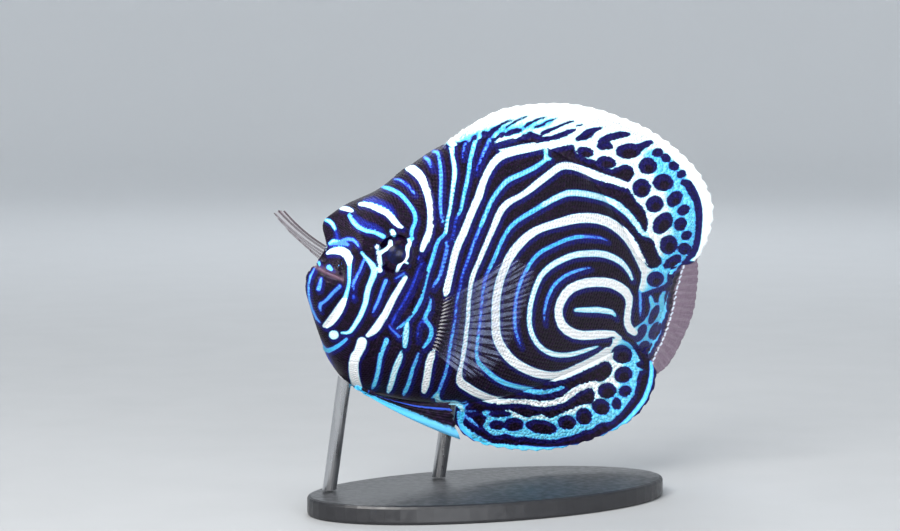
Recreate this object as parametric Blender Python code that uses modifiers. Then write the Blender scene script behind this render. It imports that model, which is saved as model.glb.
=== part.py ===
"""Juvenile emperor angelfish, life size, as a still museum model on a small display stand.

The fish is laid out flat first: s runs from the front of the mouth towards the tail, v runs up
and y runs to its right. bend() wraps that plan round the curve of the swimming fish, and the
empty fish_pose tilts it nose up with its back leaning over. All sizes here are millimetres
until mesh_object() writes them as metres.
"""
import math

import bmesh
import bpy
import numpy as np
from mathutils import Vector

MM = 0.001
GAP = 0.3                    # between parts that touch
LENGTH = 70.0                # front of the mouth to the root of the tail fin

# Pose of the whole fish on its stand
NOSE_UP = 10.0
BACK_LEAN = 17.0
POSE_X, POSE_Y, POSE_Z = -1.0, 0.0, 34.5

# Heading of the body's midline in degrees, at fractions of LENGTH: head in, tail swept away
HEADING = ((-0.1, 16.0), (0.26, 16.0), (0.42, 8.0), (0.57, 2.0),
           (0.80, 3.0), (1.00, 26.0), (1.20, 36.0), (1.50, 36.0))

# The body from lips to tail root: top s, top v, bottom s, bottom v, half width, fullness, and
# how far the width moves from the middle of the ring to its top
STATIONS = (
    (2.50, 3.40, 0.20, -0.80, 1.6, 2.2, -0.25),
    (3.20, 4.60, 0.70, -2.60, 2.1, 2.2, -0.15),
    (3.40, 6.40, 2.20, -4.90, 2.8, 2.2, 0.10),
    (3.20, 9.60, 4.60, -8.40, 3.4, 2.7, 0.50),
    (5.00, 11.90, 6.90, -11.10, 4.4, 2.6, 0.40),
    (10.40, 15.20, 9.60, -14.10, 5.6, 2.2, 0.10),
    (15.10, 19.40, 14.00, -17.20, 6.3, 2.1, 0.00),
    (20.50, 23.20, 20.50, -18.90, 6.9, 2.0, 0.00),
    (28.00, 25.30, 28.00, -19.80, 7.1, 2.0, 0.00),
    (37.00, 25.20, 37.00, -19.60, 6.5, 2.0, 0.00),
    (46.50, 21.90, 46.50, -17.00, 5.2, 2.0, 0.00),
    (55.00, 15.60, 55.00, -12.60, 3.7, 2.0, 0.00),
    (61.50, 9.60, 61.50, -8.90, 2.6, 2.0, 0.00),
    (66.00, 7.30, 66.00, -7.60, 1.9, 2.0, 0.00),
    (70.00, 7.50, 70.00, -8.50, 1.3, 2.0, 0.00),
    (72.50, 8.20, 72.60, -9.70, 0.9, 2.0, 0.00),
)
LIP_DEPTH = 0.75             # how far the lips dome out in front of the first station
CHEEK_HOLLOW, HOLLOW_RING, HOLLOW_V = 1.9, 3.9, 3.8  # dent between forehead and snout on each side
HOLLOW_LONG, HOLLOW_HIGH = 0.8, 2.2                  # its half length in rings and half height
SWELL, SWELL_RING, SWELL_V = 0.9, 3.9, 7.5           # swelling over each nostril
SWELL_LONG, SWELL_HIGH = 1.0, 1.8
GILL_SIDE, GILL_TOP, GILL_BOTTOM = 7.9, 6.9, 5.4    # where the gill opening parts the rings
TAIL_CUT = 12.35             # ring at which the tail stalk starts

EYE_S, EYE_V, EYE_Y = 11.25, 6.45, 4.6
EYE_R, EYE_FLAT, EYE_TURN = 2.8, 0.85, 14.0

MOUTH_FRONT_V, MOUTH_CORNER = 2.0, (3.5, 1.25)
LIP_RISE, LIP_OFF, LIP_HALF = 0.20, 0.55, 0.45       # height, distance from the mouth's line, half width
LIP_PAST, LIP_FADE = 0.6, 0.9                        # length past the mouth's corner, and over which lips fade
JAW_HEEL, JAW_CHIN = (5.0, -2.0), (4.6, -7.5)

SPINE_ROOT, SPINE_TIP, SPINE_R, SPINE_POINT_R = (12.6, -4.5), (16.0, -6.6), 0.75, 0.12
NOSTRILS = ((5.4, 7.4), (6.6, 7.9))
NOSTRIL_R, NOSTRIL_DEPTH = 0.32, 0.5

# Half thicknesses of the fins: where each meets the body, on its rays and between them
FIN_FOOT, TAIL_FOOT, PECTORAL_FOOT, PELVIC_FOOT = 0.62, 0.75, 0.50, 0.40
RIDGE_ROOT, RIDGE_TIP = 0.50, 0.27
WEB_ROOT, WEB_TIP = 0.30, 0.22
SPINE_NOTCH, WEB_NOTCH = 0.45, 0.3    # how far the web stays behind the tips of spines and of rays
RAY_CROWD, RAY_BOW = 0.92, 0.06      # rays crowd towards the tail and bow back

# Edges of the fins in s and v
DORSAL_EDGE = ((20.8, 24.6), (24.5, 27.6), (30.0, 30.3), (41.0, 32.2), (52.0, 31.3), (60.0, 29.0),
               (67.7, 25.0), (72.8, 20.0), (75.0, 14.8), (75.5, 10.6), (73.8, 8.9), (69.0, 8.8))
DORSAL_ROOT, DORSAL_SPINES, DORSAL_RAYS = (19.6, 64.0), 13, 20
ANAL_EDGE = ((38.8, -22.2), (41.8, -25.0), (48.0, -26.6), (54.0, -26.6), (61.0, -25.0), (67.3, -22.1),
             (71.9, -18.8), (74.3, -15.3), (74.4, -12.0), (70.0, -9.9))
ANAL_ROOT, ANAL_SPINES, ANAL_RAYS = (37.5, 63.5), 3, 19
TAIL_EDGE = ((80.2, 8.0), (82.8, 4.8), (84.8, 1.3), (86.3, -2.0), (86.4, -4.8), (85.7, -7.2), (84.7, -9.7),
             (82.8, -12.0), (79.6, -13.2))
TAIL_RAYS, TAIL_INSET = 15, 0.03     # TAIL_INSET: bare share of the tail root above and below the fin

PECTORAL_S, PECTORAL_TOP, PECTORAL_BOTTOM = 21.7, 0.2, -8.7
PECTORAL_RAYS, PECTORAL_SLANT = 16, 1.8
LEFT_PECTORAL = ((29.4, 10.8, 9.3), (31.7, 11.6, 9.2), (34.9, 11.8, 7.9), (35.6, 11.7, 5.9), (35.7, 11.6, 2.6),
                 (35.7, 11.4, -1.4), (35.1, 11.2, -5.4), (33.9, 11.2, -8.6), (31.5, 10.9, -10.6), (28.0, 10.4, -11.4))
RIGHT_PECTORAL = ((6.3, 17.0, 4.6), (7.1, 19.0, 3.9), (8.1, 21.0, 2.7), (10.4, 22.0, 1.2), (12.6, 21.5, -0.4),
                  (14.8, 21.0, -1.7), (16.5, 19.5, -2.9), (18.2, 18.0, -3.9))
PELVIC_S, PELVIC_Y = (15.2, 18.6), 1.1
PELVIC_TIP, PELVIC_SHORT = (37.6, 2.8, -24.8), (29.0, 3.6, -19.6)    # s, y, v of the first and last ray
PELVIC_RAYS, PELVIC_CROWD = 6, 0.6

BASE_LONG, BASE_WIDE, BASE_THICK, BASE_EDGE = 31.0, 17.0, 3.0, 0.5
ROD_R, ROD_SIDES = 1.1, 20
ROD_BURIED = 3.0             # length above the belly line before the body's space is cut out
ROD_PLACES = (("stand_rod_front", 13.0), ("stand_rod_rear", 35.4))

COLOURS = {
    "skin": ((0.010, 0.004, 0.022), 0.42, 0.0),
    "fin": ((0.020, 0.030, 0.120), 0.45, 0.0),
    "clear_fin": ((0.45, 0.42, 0.50), 0.35, 0.0),
    "eye": ((0.006, 0.005, 0.012), 0.08, 0.0),
    "steel": ((0.55, 0.56, 0.58), 0.28, 1.0),
    "base": ((0.025, 0.025, 0.028), 0.5, 0.0),
}


def clear_scene():
    for item in list(bpy.data.objects):
        bpy.data.objects.remove(item, do_unlink=True)


def collection(name):
    made = bpy.data.collections.new(name)
    bpy.context.scene.collection.children.link(made)
    return made


def material(name):
    made = bpy.data.materials.new(name)
    made.use_nodes = True
    colour, rough, metal = COLOURS[name]
    shader = made.node_tree.nodes["Principled BSDF"]
    shader.inputs["Base Color"].default_value = (*colour, 1.0)
    shader.inputs["Roughness"].default_value = rough
    shader.inputs["Metallic"].default_value = metal
    return made


def smooth_curve(points, t):
    """Catmull-Rom curve through points, with t counted in points."""
    p = np.asarray(points, float)
    p = np.vstack([2 * p[0] - p[1], p, 2 * p[-1] - p[-2]])
    t = np.clip(np.asarray(t, float), 0, len(p) - 3)
    k = np.minimum(t.astype(int), len(p) - 4)
    f = (t - k)[..., None]
    a, b, c, d = p[k], p[k + 1], p[k + 2], p[k + 3]
    return 0.5 * (2 * b + (c - a) * f + (2 * a - 5 * b + 4 * c - d) * f**2 + (3 * b - a - 3 * c + d) * f**3)


def even_points(points, count):
    """count points, evenly spaced along the smooth curve through points."""
    dense = smooth_curve(points, np.linspace(0, len(points) - 1, 600))
    run = np.concatenate([[0], np.cumsum(np.linalg.norm(np.diff(dense, axis=0), axis=1))])
    want = np.linspace(0, run[-1], count)
    return np.stack([np.interp(want, run, dense[:, k]) for k in range(dense.shape[1])], axis=1)


class Midline:
    """Plan of the fish's midline, integrated from its heading."""

    def __init__(self):
        self.s = np.linspace(-0.1, 1.5, 1601) * LENGTH
        knots = np.array(HEADING)
        raw = np.interp(self.s / LENGTH, knots[:, 0], knots[:, 1])
        window = np.hanning(121)
        padded = np.concatenate([np.full(60, raw[0]), raw, np.full(60, raw[-1])])
        self.heading = np.radians(np.convolve(padded, window / window.sum(), "valid"))
        step = self.s[1] - self.s[0]
        self.x = np.concatenate([[0], np.cumsum(np.cos(self.heading[:-1]) * step)])
        self.y = np.concatenate([[0], np.cumsum(np.sin(self.heading[:-1]) * step)])
        middle = np.argmin(abs(self.s - LENGTH / 2))
        self.x -= self.x[middle]
        self.y -= self.y[middle]

    def at(self, s):
        return (np.interp(s, self.s, self.x), np.interp(s, self.s, self.y),
                np.interp(s, self.s, self.heading))


MIDLINE = Midline()


def bend(s, y, v):
    """Wrap flat coordinates round the bent midline."""
    x0, y0, a = MIDLINE.at(s)
    return np.stack(np.broadcast_arrays(x0 - np.sin(a) * y, y0 + np.cos(a) * y, v), axis=-1)


def along_tangent(root_s, s, y, v):
    """A point that keeps the heading of the body at root_s, as a fin does past its root."""
    x0, y0, a = MIDLINE.at(root_s)
    run = s - root_s
    return np.stack(np.broadcast_arrays(x0 + np.cos(a) * run - np.sin(a) * y,
                                        y0 + np.sin(a) * run + np.cos(a) * y, v), axis=-1)


def mouth_height(s):
    """Height of the line between the lips, at s."""
    return MOUTH_FRONT_V + (MOUTH_CORNER[1] - MOUTH_FRONT_V) * s / MOUTH_CORNER[0]


def with_lips(s, y, v):
    """Push the snout's surface out into two lips along the line of the mouth."""
    off = abs(v - mouth_height(s) - GAP / 2)
    fade = np.clip((MOUTH_CORNER[0] + LIP_PAST - s) / LIP_FADE, 0, 1)
    rise = LIP_RISE * np.exp(-((off - LIP_OFF) / LIP_HALF) ** 2) * fade
    turn = np.arctan2(abs(y), MOUTH_CORNER[0] - s)
    return s - rise * np.cos(turn), y + np.sign(y) * rise * np.sin(turn), v


def ring_points(u, turn, grow=0.0):
    """Flat s, y, v of the body's surface at ring u (0 is the tip of the lips) and turn round it."""
    u, turn = np.broadcast_arrays(np.asarray(u, float), np.asarray(turn, float))
    dome = np.clip(u, 0, 1) * math.pi / 2
    row = smooth_curve(STATIONS, np.maximum(u - 1, 0))
    top, bottom, wide, full, heavy = row[..., 0:2], row[..., 2:4], row[..., 4], row[..., 5], row[..., 6]
    centre, half = (top + bottom) / 2, (top - bottom) / 2
    cosine, sine = np.cos(turn), np.sin(turn)
    lift = np.sign(cosine) * abs(cosine) ** (2 / full)
    side = np.sign(sine) * abs(sine) ** (2 / full) * np.sin(dome) * (1 + heavy * lift)
    lift = lift * np.sin(dome)
    length = np.linalg.norm(half, axis=-1)
    flat = centre + half * (lift * (1 + grow / length))[..., None]
    s = flat[..., 0] - (LIP_DEPTH + grow) * np.cos(dome)
    hollow = CHEEK_HOLLOW * np.exp(-((u - HOLLOW_RING) / HOLLOW_LONG) ** 2
                                   - ((flat[..., 1] - HOLLOW_V) / HOLLOW_HIGH) ** 2)
    swell = SWELL * np.exp(-((u - SWELL_RING) / SWELL_LONG) ** 2
                           - ((flat[..., 1] - SWELL_V) / SWELL_HIGH) ** 2)
    y = -side * (wide + grow) + np.clip(sine * 2, -1, 1) * (hollow - swell)
    return with_lips(s, y, flat[..., 1])


def ridge_height(s, below):
    """Height of the body's top or bottom ridge at s."""
    rows = smooth_curve(STATIONS, np.linspace(4, len(STATIONS) - 1, 500))
    return np.interp(s, rows[:, 2 if below else 0], rows[:, 3 if below else 1])


def form_object(name, form, where, colour, pose):
    """The object of a finished bmesh, which is then freed."""
    mesh = bpy.data.meshes.new(name)
    form.to_mesh(mesh)
    form.free()
    made = bpy.data.objects.new(name, mesh)
    where.objects.link(made)
    if colour:
        mesh.materials.append(colour)
    made.parent = pose
    return made


def mesh_object(name, verts, faces, where, colour, pose):
    """The object of hand-built faces, with verts in millimetres."""
    mesh = bpy.data.meshes.new(name)
    mesh.from_pydata([tuple(float(c) * MM for c in v) for v in verts], [], faces)
    mesh.validate()
    form = bmesh.new()
    form.from_mesh(mesh)
    bpy.data.meshes.remove(mesh)
    made = form_object(name, form, where, colour, pose)
    tidy_mesh(made)
    return made


def tidy_mesh(item):
    """Point the faces out and shade the round parts smooth."""
    form = bmesh.new()
    form.from_mesh(item.data)
    bmesh.ops.recalc_face_normals(form, faces=form.faces)
    form.to_mesh(item.data)
    form.free()
    item.data.shade_smooth()
    item.data.set_sharp_from_angle(angle=math.radians(40))


def loft_faces(rows, columns):
    """Quads of a closed tube of rows of columns, as triangles cut the same way all round."""
    faces = []
    for r in range(rows - 1):
        for c in range(columns):
            a, b = r * columns + c, r * columns + (c + 1) % columns
            faces += [(a, b, b + columns), (a, b + columns, a + columns)]
    return faces


def fan_faces(ring, centre, flip):
    pairs = zip(ring, ring[1:] + ring[:1])
    return [(b, a, centre) if flip else (a, b, centre) for a, b in pairs]


def body_piece(name, start, end, rows, columns, where, colour, pose, grow=0.0, crowd=1.0):
    """A length of the body between two rings, start and end, each a function of the turn."""
    turn = np.arange(columns) * 2 * math.pi / columns
    first, last = start(turn), end(turn)
    share = np.linspace(0, 1, rows) ** crowd
    closed_tip = bool(np.all(first == 0))
    if closed_tip:
        share = share[1:]
    u = first[None, :] + (last - first)[None, :] * share[:, None]
    s, y, v = ring_points(u, turn[None, :], grow)
    points = bend(s, y, v).reshape(-1, 3)
    count = len(share)
    rings = [list(range(0, columns)), list(range((count - 1) * columns, count * columns))]
    s_mid, y_mid, v_mid = s.mean(axis=1), y.mean(axis=1), v.mean(axis=1)
    if closed_tip:
        tip = ring_points(0.0, 0.0, grow)
        front = bend(tip[0], 0.0, (v[0].max() + v[0].min()) / 2)
    else:
        front = bend(s_mid[0], y_mid[0], v_mid[0])
    back = bend(s_mid[-1], y_mid[-1], v_mid[-1])
    points = np.vstack([points, front, back])
    faces = loft_faces(count, columns)
    faces += fan_faces(rings[0], len(points) - 2, True) + fan_faces(rings[1], len(points) - 1, False)
    return mesh_object(name, points, faces, where, colour, pose)


def gill_ring(turn):
    up = (1 + np.cos(turn)) / 2
    return GILL_SIDE + (GILL_TOP - GILL_SIDE) * up**1.5 + (GILL_BOTTOM - GILL_SIDE) * (1 - up)**4


def after(ring, gap):
    """The ring a small gap further back along the body."""
    def later(turn):
        u = ring(turn)
        here = np.stack(ring_points(u, turn), axis=-1)
        there = np.stack(ring_points(u + 0.01, turn), axis=-1)
        return u + 0.01 * gap / np.linalg.norm(there - here, axis=-1)
    return later


def level(u):
    return lambda turn: np.full_like(turn, u)


def boolean(item, cutter, operation):
    """Apply one Boolean to item, and keep its largest closed surface."""
    change = item.modifiers.new(operation.lower(), "BOOLEAN")
    change.object = cutter
    change.operation = operation
    change.solver = "EXACT"
    bpy.context.view_layer.update()
    graph = bpy.context.evaluated_depsgraph_get()
    mesh = bpy.data.meshes.new_from_object(item.evaluated_get(graph))
    item.modifiers.clear()
    old, item.data = item.data, mesh
    mesh.name = item.name
    bpy.data.meshes.remove(old)
    keep_largest(item)
    tidy_mesh(item)


def keep_largest(item):
    form = bmesh.new()
    form.from_mesh(item.data)
    bmesh.ops.remove_doubles(form, verts=form.verts, dist=0.00001)
    left, shells = set(form.verts), []
    while left:
        stack, shell = [left.pop()], []
        while stack:
            vert = stack.pop()
            shell.append(vert)
            near = [e.other_vert(vert) for e in vert.link_edges]
            fresh = [n for n in near if n in left]
            left.difference_update(fresh)
            stack += fresh
        shells.append(shell)
    shells.sort(key=len)
    bmesh.ops.delete(form, geom=[v for shell in shells[:-1] for v in shell], context="VERTS")
    bmesh.ops.triangulate(form, faces=form.faces)
    form.to_mesh(item.data)
    form.free()


def grow_outline(points, d):
    """Move each edge of a closed outline, given clockwise, outwards by d."""
    count = len(points)
    grown = []
    for k in range(count):
        a, b, c = (np.array(points[(k + j) % count], float) for j in (-1, 0, 1))
        n1, n2 = ((b - a) / np.linalg.norm(b - a)), ((c - b) / np.linalg.norm(c - b))
        n1, n2 = np.array([-n1[1], n1[0]]), np.array([-n2[1], n2[0]])
        grown.append(b + d * (n1 + n2) / (1 + n1 @ n2))
    return grown


def jaw_outline():
    """Side view of the lower jaw's space, clockwise from its front."""
    return [(-4.0, MOUTH_FRONT_V + 0.5), (0.0, MOUTH_FRONT_V), MOUTH_CORNER, JAW_HEEL, JAW_CHIN, (-4.0, -9.0)]


def prism(name, outline, half_width, where, pose):
    """A cutter: a side-view outline carried across the head."""
    form = bmesh.new()
    corners = [form.verts.new(bend(s, -half_width, v) * MM) for s, v in outline]
    form.faces.new(corners)
    across = bend(0.0, half_width, 0.0) - bend(0.0, -half_width, 0.0)
    pushed = bmesh.ops.extrude_face_region(form, geom=form.faces[:])["geom"]
    moved = [item for item in pushed if isinstance(item, bmesh.types.BMVert)]
    bmesh.ops.translate(form, vec=across * MM, verts=moved)
    made = form_object(name, form, where, None, pose)
    tidy_mesh(made)
    return made


def eye_ball(name, side, grow, where, colour, pose):
    """An eyeball, flattened towards the side it looks at."""
    form = bmesh.new()
    bmesh.ops.create_uvsphere(form, u_segments=20, v_segments=12, radius=(EYE_R + grow) * MM)
    bmesh.ops.scale(form, vec=(1, 1, EYE_FLAT), verts=form.verts)
    bmesh.ops.triangulate(form, faces=form.faces)
    made = form_object(name, form, where, colour, pose)
    made.location = bend(EYE_S, side * EYE_Y, EYE_V) * MM
    turn = MIDLINE.at(EYE_S)[2] + side * math.radians(EYE_TURN)
    made.rotation_euler = (math.pi / 2, 0, turn)
    made.data.shade_smooth()
    return made


def skin_grid(first_turn, last_turn):
    """Flat s, y, v all over the left side of the body between two turns, with y counted outwards."""
    u = np.linspace(0.02, len(STATIONS), 500)
    s, y, v = ring_points(u[:, None], np.linspace(first_turn, last_turn, 181)[None, :])
    return s, -y, v


def surface_y(s, v):
    """Half width of the head or body at a flat place s, v."""
    ss, yy, vv = skin_grid(0.02, math.pi - 0.02)
    return float(yy.ravel()[np.argmin((ss - s) ** 2 + (vv - v) ** 2)])


def belly_v(s, y):
    """Height of the belly at a flat place s, y."""
    ss, yy, vv = skin_grid(math.pi / 2, math.pi)
    return float(vv.ravel()[np.argmin((ss - s) ** 2 + (yy - y) ** 2)])


def cone(name, start, end, r_start, r_end, sides, where, pose):
    """A closed cone between two points of the bent fish."""
    start, end = Vector(start) * MM, Vector(end) * MM
    form = bmesh.new()
    bmesh.ops.create_cone(form, cap_ends=True, segments=sides, radius1=r_start * MM, radius2=r_end * MM,
                          depth=(end - start).length)
    made = form_object(name, form, where, None, pose)
    made.location = (start + end) / 2
    made.rotation_euler = (end - start).to_track_quat("Z", "Y").to_euler()
    return made


def build_head(parts, cutters, paints, pose):
    head = body_piece("head", level(0), gill_ring, 30, 44, parts, paints["skin"], pose, crowd=1.15)
    jaw = body_piece("jaw_lower", level(0), gill_ring, 30, 44, parts, paints["skin"], pose, crowd=1.15)
    boolean(jaw, prism("jaw_space", jaw_outline(), 9, cutters, pose), "INTERSECT")
    boolean(head, prism("jaw_gap", grow_outline(jaw_outline(), GAP), 9, cutters, pose), "DIFFERENCE")
    for side, word in ((-1, "left"), (1, "right")):
        boolean(head, eye_ball("socket_" + word, side, GAP, cutters, None, pose), "DIFFERENCE")
        eye_ball("eye_" + word, side, 0.0, parts, paints["eye"], pose)
        for number, (s, v) in enumerate(NOSTRILS):
            skin = surface_y(s, v)
            ends = [bend(s, side * y, v) for y in (skin + NOSTRIL_DEPTH, skin - NOSTRIL_DEPTH)]
            pit = cone("nostril_%s_%d" % (word, number), *ends, NOSTRIL_R, NOSTRIL_R * 0.7, 8, cutters, pose)
            boolean(head, pit, "DIFFERENCE")
        root_y, tip_y = surface_y(*SPINE_ROOT) - 0.5, surface_y(*SPINE_TIP) + 0.35
        ends = [bend(s, side * y, v) for (s, v), y in ((SPINE_ROOT, root_y), (SPINE_TIP, tip_y))]
        boolean(head, cone("cheek_spine_" + word, *ends, SPINE_R, SPINE_POINT_R, 8, cutters, pose), "UNION")


def build_body(parts, paints, pose):
    torso_start = after(gill_ring, GAP + 0.1)
    body_piece("torso", torso_start, level(TAIL_CUT), 26, 44, parts, paints["skin"], pose)
    stalk_start = after(level(TAIL_CUT), GAP)
    body_piece("tail_stalk", stalk_start, level(len(STATIONS)), 9, 44, parts, paints["skin"], pose)


def sheet_solid(name, middle, across, half, parts, colour, pose):
    """A closed fin: a grid of points, thickened by half along across on each side."""
    columns, rows = half.shape
    front = (middle - across * half[..., None]).reshape(-1, 3)
    back = (middle + across * half[..., None]).reshape(-1, 3)
    total = columns * rows
    faces = []
    for i in range(columns - 1):
        for j in range(rows - 1):
            a, b, c, d = i * rows + j, (i + 1) * rows + j, (i + 1) * rows + j + 1, i * rows + j + 1
            faces += [(a, b, c), (a, c, d)]
            faces += [(total + b, total + a, total + c), (total + c, total + a, total + d)]
    rim = [i * rows for i in range(columns)]
    rim += [(columns - 1) * rows + j for j in range(1, rows)]
    rim += [i * rows + rows - 1 for i in range(columns - 2, -1, -1)]
    rim += [j for j in range(rows - 2, 0, -1)]
    for a, b in zip(rim, rim[1:] + rim[:1]):
        faces += [(b, a, total + a), (b, total + a, total + b)]
    return mesh_object(name, np.vstack([front, back]), faces, parts, colour, pose)


def ray_columns(rays, between=1):
    """Shares 0 to 1 across a fin: a ridge at each ray and webs between, and which are ridges."""
    count = (rays - 1) * (between + 1) + 1
    ridge = np.arange(count) % (between + 1) == 0
    return np.linspace(0, 1, count), ridge


def arch(share):
    """An even arch from 0 at both ends to 1 in the middle."""
    return share * (1 - share) * 4


def fin_halves(ridge, share, foot):
    """Half thickness over a fin's grid, from root to edge, thicker on the rays."""
    rays = RIDGE_ROOT + (RIDGE_TIP - RIDGE_ROOT) * share
    web = WEB_ROOT + (WEB_TIP - WEB_ROOT) * share
    half = np.where(ridge[:, None], rays[None, :], web[None, :])
    half[:, 0] = foot
    return half


def median_fin(name, edge, root, spines, rays, below, rows, parts, colour, pose):
    """A dorsal or anal fin on the body's ridge: each ray keeps the heading of its root."""
    across_share, ridge = ray_columns(spines + rays)
    count = len(across_share)
    tips = even_points(edge, count)
    sign = -1 if below else 1
    root_s = root[0] + (root[1] - root[0]) * across_share ** RAY_CROWD
    root_v = ridge_height(root_s, below) + sign * (GAP + 0.05)
    notch = np.where(across_share < spines / (spines + rays), SPINE_NOTCH, WEB_NOTCH) * ~ridge
    notch[0] = notch[-1] = 0
    share = np.linspace(0, 1, rows)
    roots = np.stack([root_s, root_v], axis=1)
    run = tips - roots
    length = np.linalg.norm(run, axis=1)
    tips = tips - run / length[:, None] * notch[:, None]
    bow = RAY_BOW * length[:, None] * arch(share)[None, :]
    flat = roots[:, None, :] + (tips - roots)[:, None, :] * share[None, :, None]
    s = flat[..., 0] - bow * math.sqrt(0.5)
    v = flat[..., 1] + sign * bow * math.sqrt(0.5)
    s[:, 0], v[:, 0] = root_s, root_v
    middle = along_tangent(root_s[:, None], s, 0.0, v)
    heading = MIDLINE.at(root_s)[2]
    across = np.stack([-np.sin(heading), np.cos(heading), np.zeros(count)], axis=1)[:, None, :]
    half = fin_halves(ridge, share, FIN_FOOT)
    half[0] = half[-1] = WEB_ROOT
    sheet_solid(name, middle, np.broadcast_to(across, middle.shape), half, parts, colour, pose)


def tail_fin(parts, colour, pose):
    across_share, ridge = ray_columns(TAIL_RAYS)
    last = STATIONS[-1]
    root_s = last[0] + GAP
    root_v = last[1] + (last[3] - last[1]) * (TAIL_INSET + (1 - 2 * TAIL_INSET) * across_share)
    tips = even_points(TAIL_EDGE, len(across_share))
    share = np.linspace(0, 1, 8)
    notch = np.where(ridge, 0.0, WEB_NOTCH)[:, None] * share[None, :]
    s = root_s + (tips[:, 0:1] - root_s) * share[None, :] - notch
    v = root_v[:, None] + (tips[:, 1:2] - root_v[:, None]) * share[None, :]
    middle = bend(s, 0.0, v)
    heading = MIDLINE.at(s)[2]
    across = np.stack([-np.sin(heading), np.cos(heading), np.zeros_like(heading)], axis=-1)
    sheet_solid("fin_tail", middle, across, fin_halves(ridge, share, TAIL_FOOT), parts, colour, pose)


def grid_normals(middle):
    """Unit normals of a grid of points."""
    along = np.gradient(middle, axis=1)
    over = np.gradient(middle, axis=0)
    normal = np.cross(over, along)
    return normal / np.linalg.norm(normal, axis=-1, keepdims=True)


def pectoral_fin(name, side, tips, belly_out, sag, parts, colour, pose):
    """A side fin. tips lists the ends of its rays, top to bottom, in flat s, y, v; the blade
    bellies out, and the leading rays sag between root and tip."""
    across_share, ridge = ray_columns(PECTORAL_RAYS)
    v_root = PECTORAL_TOP + (PECTORAL_BOTTOM - PECTORAL_TOP) * across_share
    s_root = PECTORAL_S + PECTORAL_SLANT * across_share
    y_root = np.array([surface_y(s, v) for s, v in zip(s_root, v_root)]) + GAP + PECTORAL_FOOT / 2
    roots = bend(s_root, side * y_root, v_root)
    ends = even_points(tips, len(across_share))
    share = np.linspace(0, 1, 7)
    ends = bend(ends[:, 0], side * ends[:, 1], ends[:, 2])
    run = ends - roots
    length = np.linalg.norm(run, axis=1)
    run = run * (1 - np.where(ridge, 0.0, WEB_NOTCH) / length)[:, None]
    middle = roots[:, None, :] + run[:, None, :] * share[None, :, None]
    heading = MIDLINE.at(PECTORAL_S)[2]
    out = np.array([-math.sin(heading), math.cos(heading), 0]) * side
    bulge = arch(share)[None, :, None]
    middle = middle + out * belly_out * bulge
    middle = middle - np.array([0, 0, sag]) * (1 - across_share)[:, None, None] * bulge
    half = fin_halves(ridge, share, PECTORAL_FOOT)
    sheet_solid(name, middle, grid_normals(middle), half, parts, colour, pose)


def pelvic_fin(name, side, parts, colour, pose):
    """A belly fin: its first ray is the longest, and the others shorten quickly behind it."""
    across_share, ridge = ray_columns(PELVIC_RAYS)
    root_s = PELVIC_S[0] + (PELVIC_S[1] - PELVIC_S[0]) * across_share
    roots = np.array([(s, PELVIC_Y, belly_v(s, PELVIC_Y - PELVIC_FOOT) - GAP) for s in root_s])
    tips = np.array(PELVIC_TIP) + np.outer(across_share ** PELVIC_CROWD, np.subtract(PELVIC_SHORT, PELVIC_TIP))
    share = np.linspace(0, 1, 8)
    flat = roots[:, None, :] + (tips - roots)[:, None, :] * share[None, :, None]
    middle = bend(flat[..., 0], side * flat[..., 1], flat[..., 2])
    half = fin_halves(ridge, share, PELVIC_FOOT)
    sheet_solid(name, middle, grid_normals(middle), half, parts, colour, pose)


def build_fins(parts, paints, pose):
    median_fin("fin_dorsal", DORSAL_EDGE, DORSAL_ROOT, DORSAL_SPINES, DORSAL_RAYS, False, 9,
               parts, paints["fin"], pose)
    median_fin("fin_anal", ANAL_EDGE, ANAL_ROOT, ANAL_SPINES, ANAL_RAYS, True, 8,
               parts, paints["fin"], pose)
    tail_fin(parts, paints["clear_fin"], pose)
    sides = ((-1, "left", LEFT_PECTORAL, 1.4, -0.9), (1, "right", RIGHT_PECTORAL, 0.0, 2.2))
    for side, word, tips, belly_out, sag in sides:
        pectoral_fin("fin_pectoral_" + word, side, tips, belly_out, sag, parts, paints["clear_fin"], pose)
        pelvic_fin("fin_pelvic_" + word, side, parts, paints["fin"], pose)


def build_stand(parts, cutters, paints, pose):
    form = bmesh.new()
    bmesh.ops.create_cone(form, cap_ends=True, segments=64, radius1=MM, radius2=MM, depth=BASE_THICK * MM)
    bmesh.ops.scale(form, vec=(BASE_LONG, BASE_WIDE, 1), verts=form.verts)
    base = form_object("stand_base", form, parts, paints["base"], None)
    base.location = (0, 0, BASE_THICK / 2 * MM)
    edge = base.modifiers.new("edge", "BEVEL")
    edge.width = BASE_EDGE * MM
    edge.segments = 2
    edge.limit_method = "ANGLE"
    base.data.shade_smooth()
    base.data.set_sharp_from_angle(angle=math.radians(40))
    space = body_piece("body_space", level(0), level(len(STATIONS) - 1), 40, 32, cutters, None, pose, GAP)
    bpy.context.view_layer.update()
    for name, s in ROD_PLACES:
        belly = pose.matrix_world @ Vector(bend(s, 0.0, ridge_height(s, True)) * MM)
        boolean(rod(name, belly, parts, paints["steel"]), space, "DIFFERENCE")


def rod(name, belly, parts, colour):
    """A round rod that leans as the fish does, cut level where it stands on the base."""
    foot, head = (BASE_THICK + GAP) * MM, belly.z + ROD_BURIED * MM
    lean = math.radians(BACK_LEAN)
    form = bmesh.new()
    bmesh.ops.create_cone(form, cap_ends=True, segments=ROD_SIDES, radius1=ROD_R * MM, radius2=ROD_R * MM,
                          depth=head - foot)
    for vert in form.verts:
        vert.co.y = vert.co.y / math.cos(lean) - vert.co.z * math.tan(lean)
    made = form_object(name, form, parts, colour, None)
    middle = (head + foot) / 2
    made.location = (belly.x, belly.y - math.tan(lean) * (middle - belly.z), middle)
    return made


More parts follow.
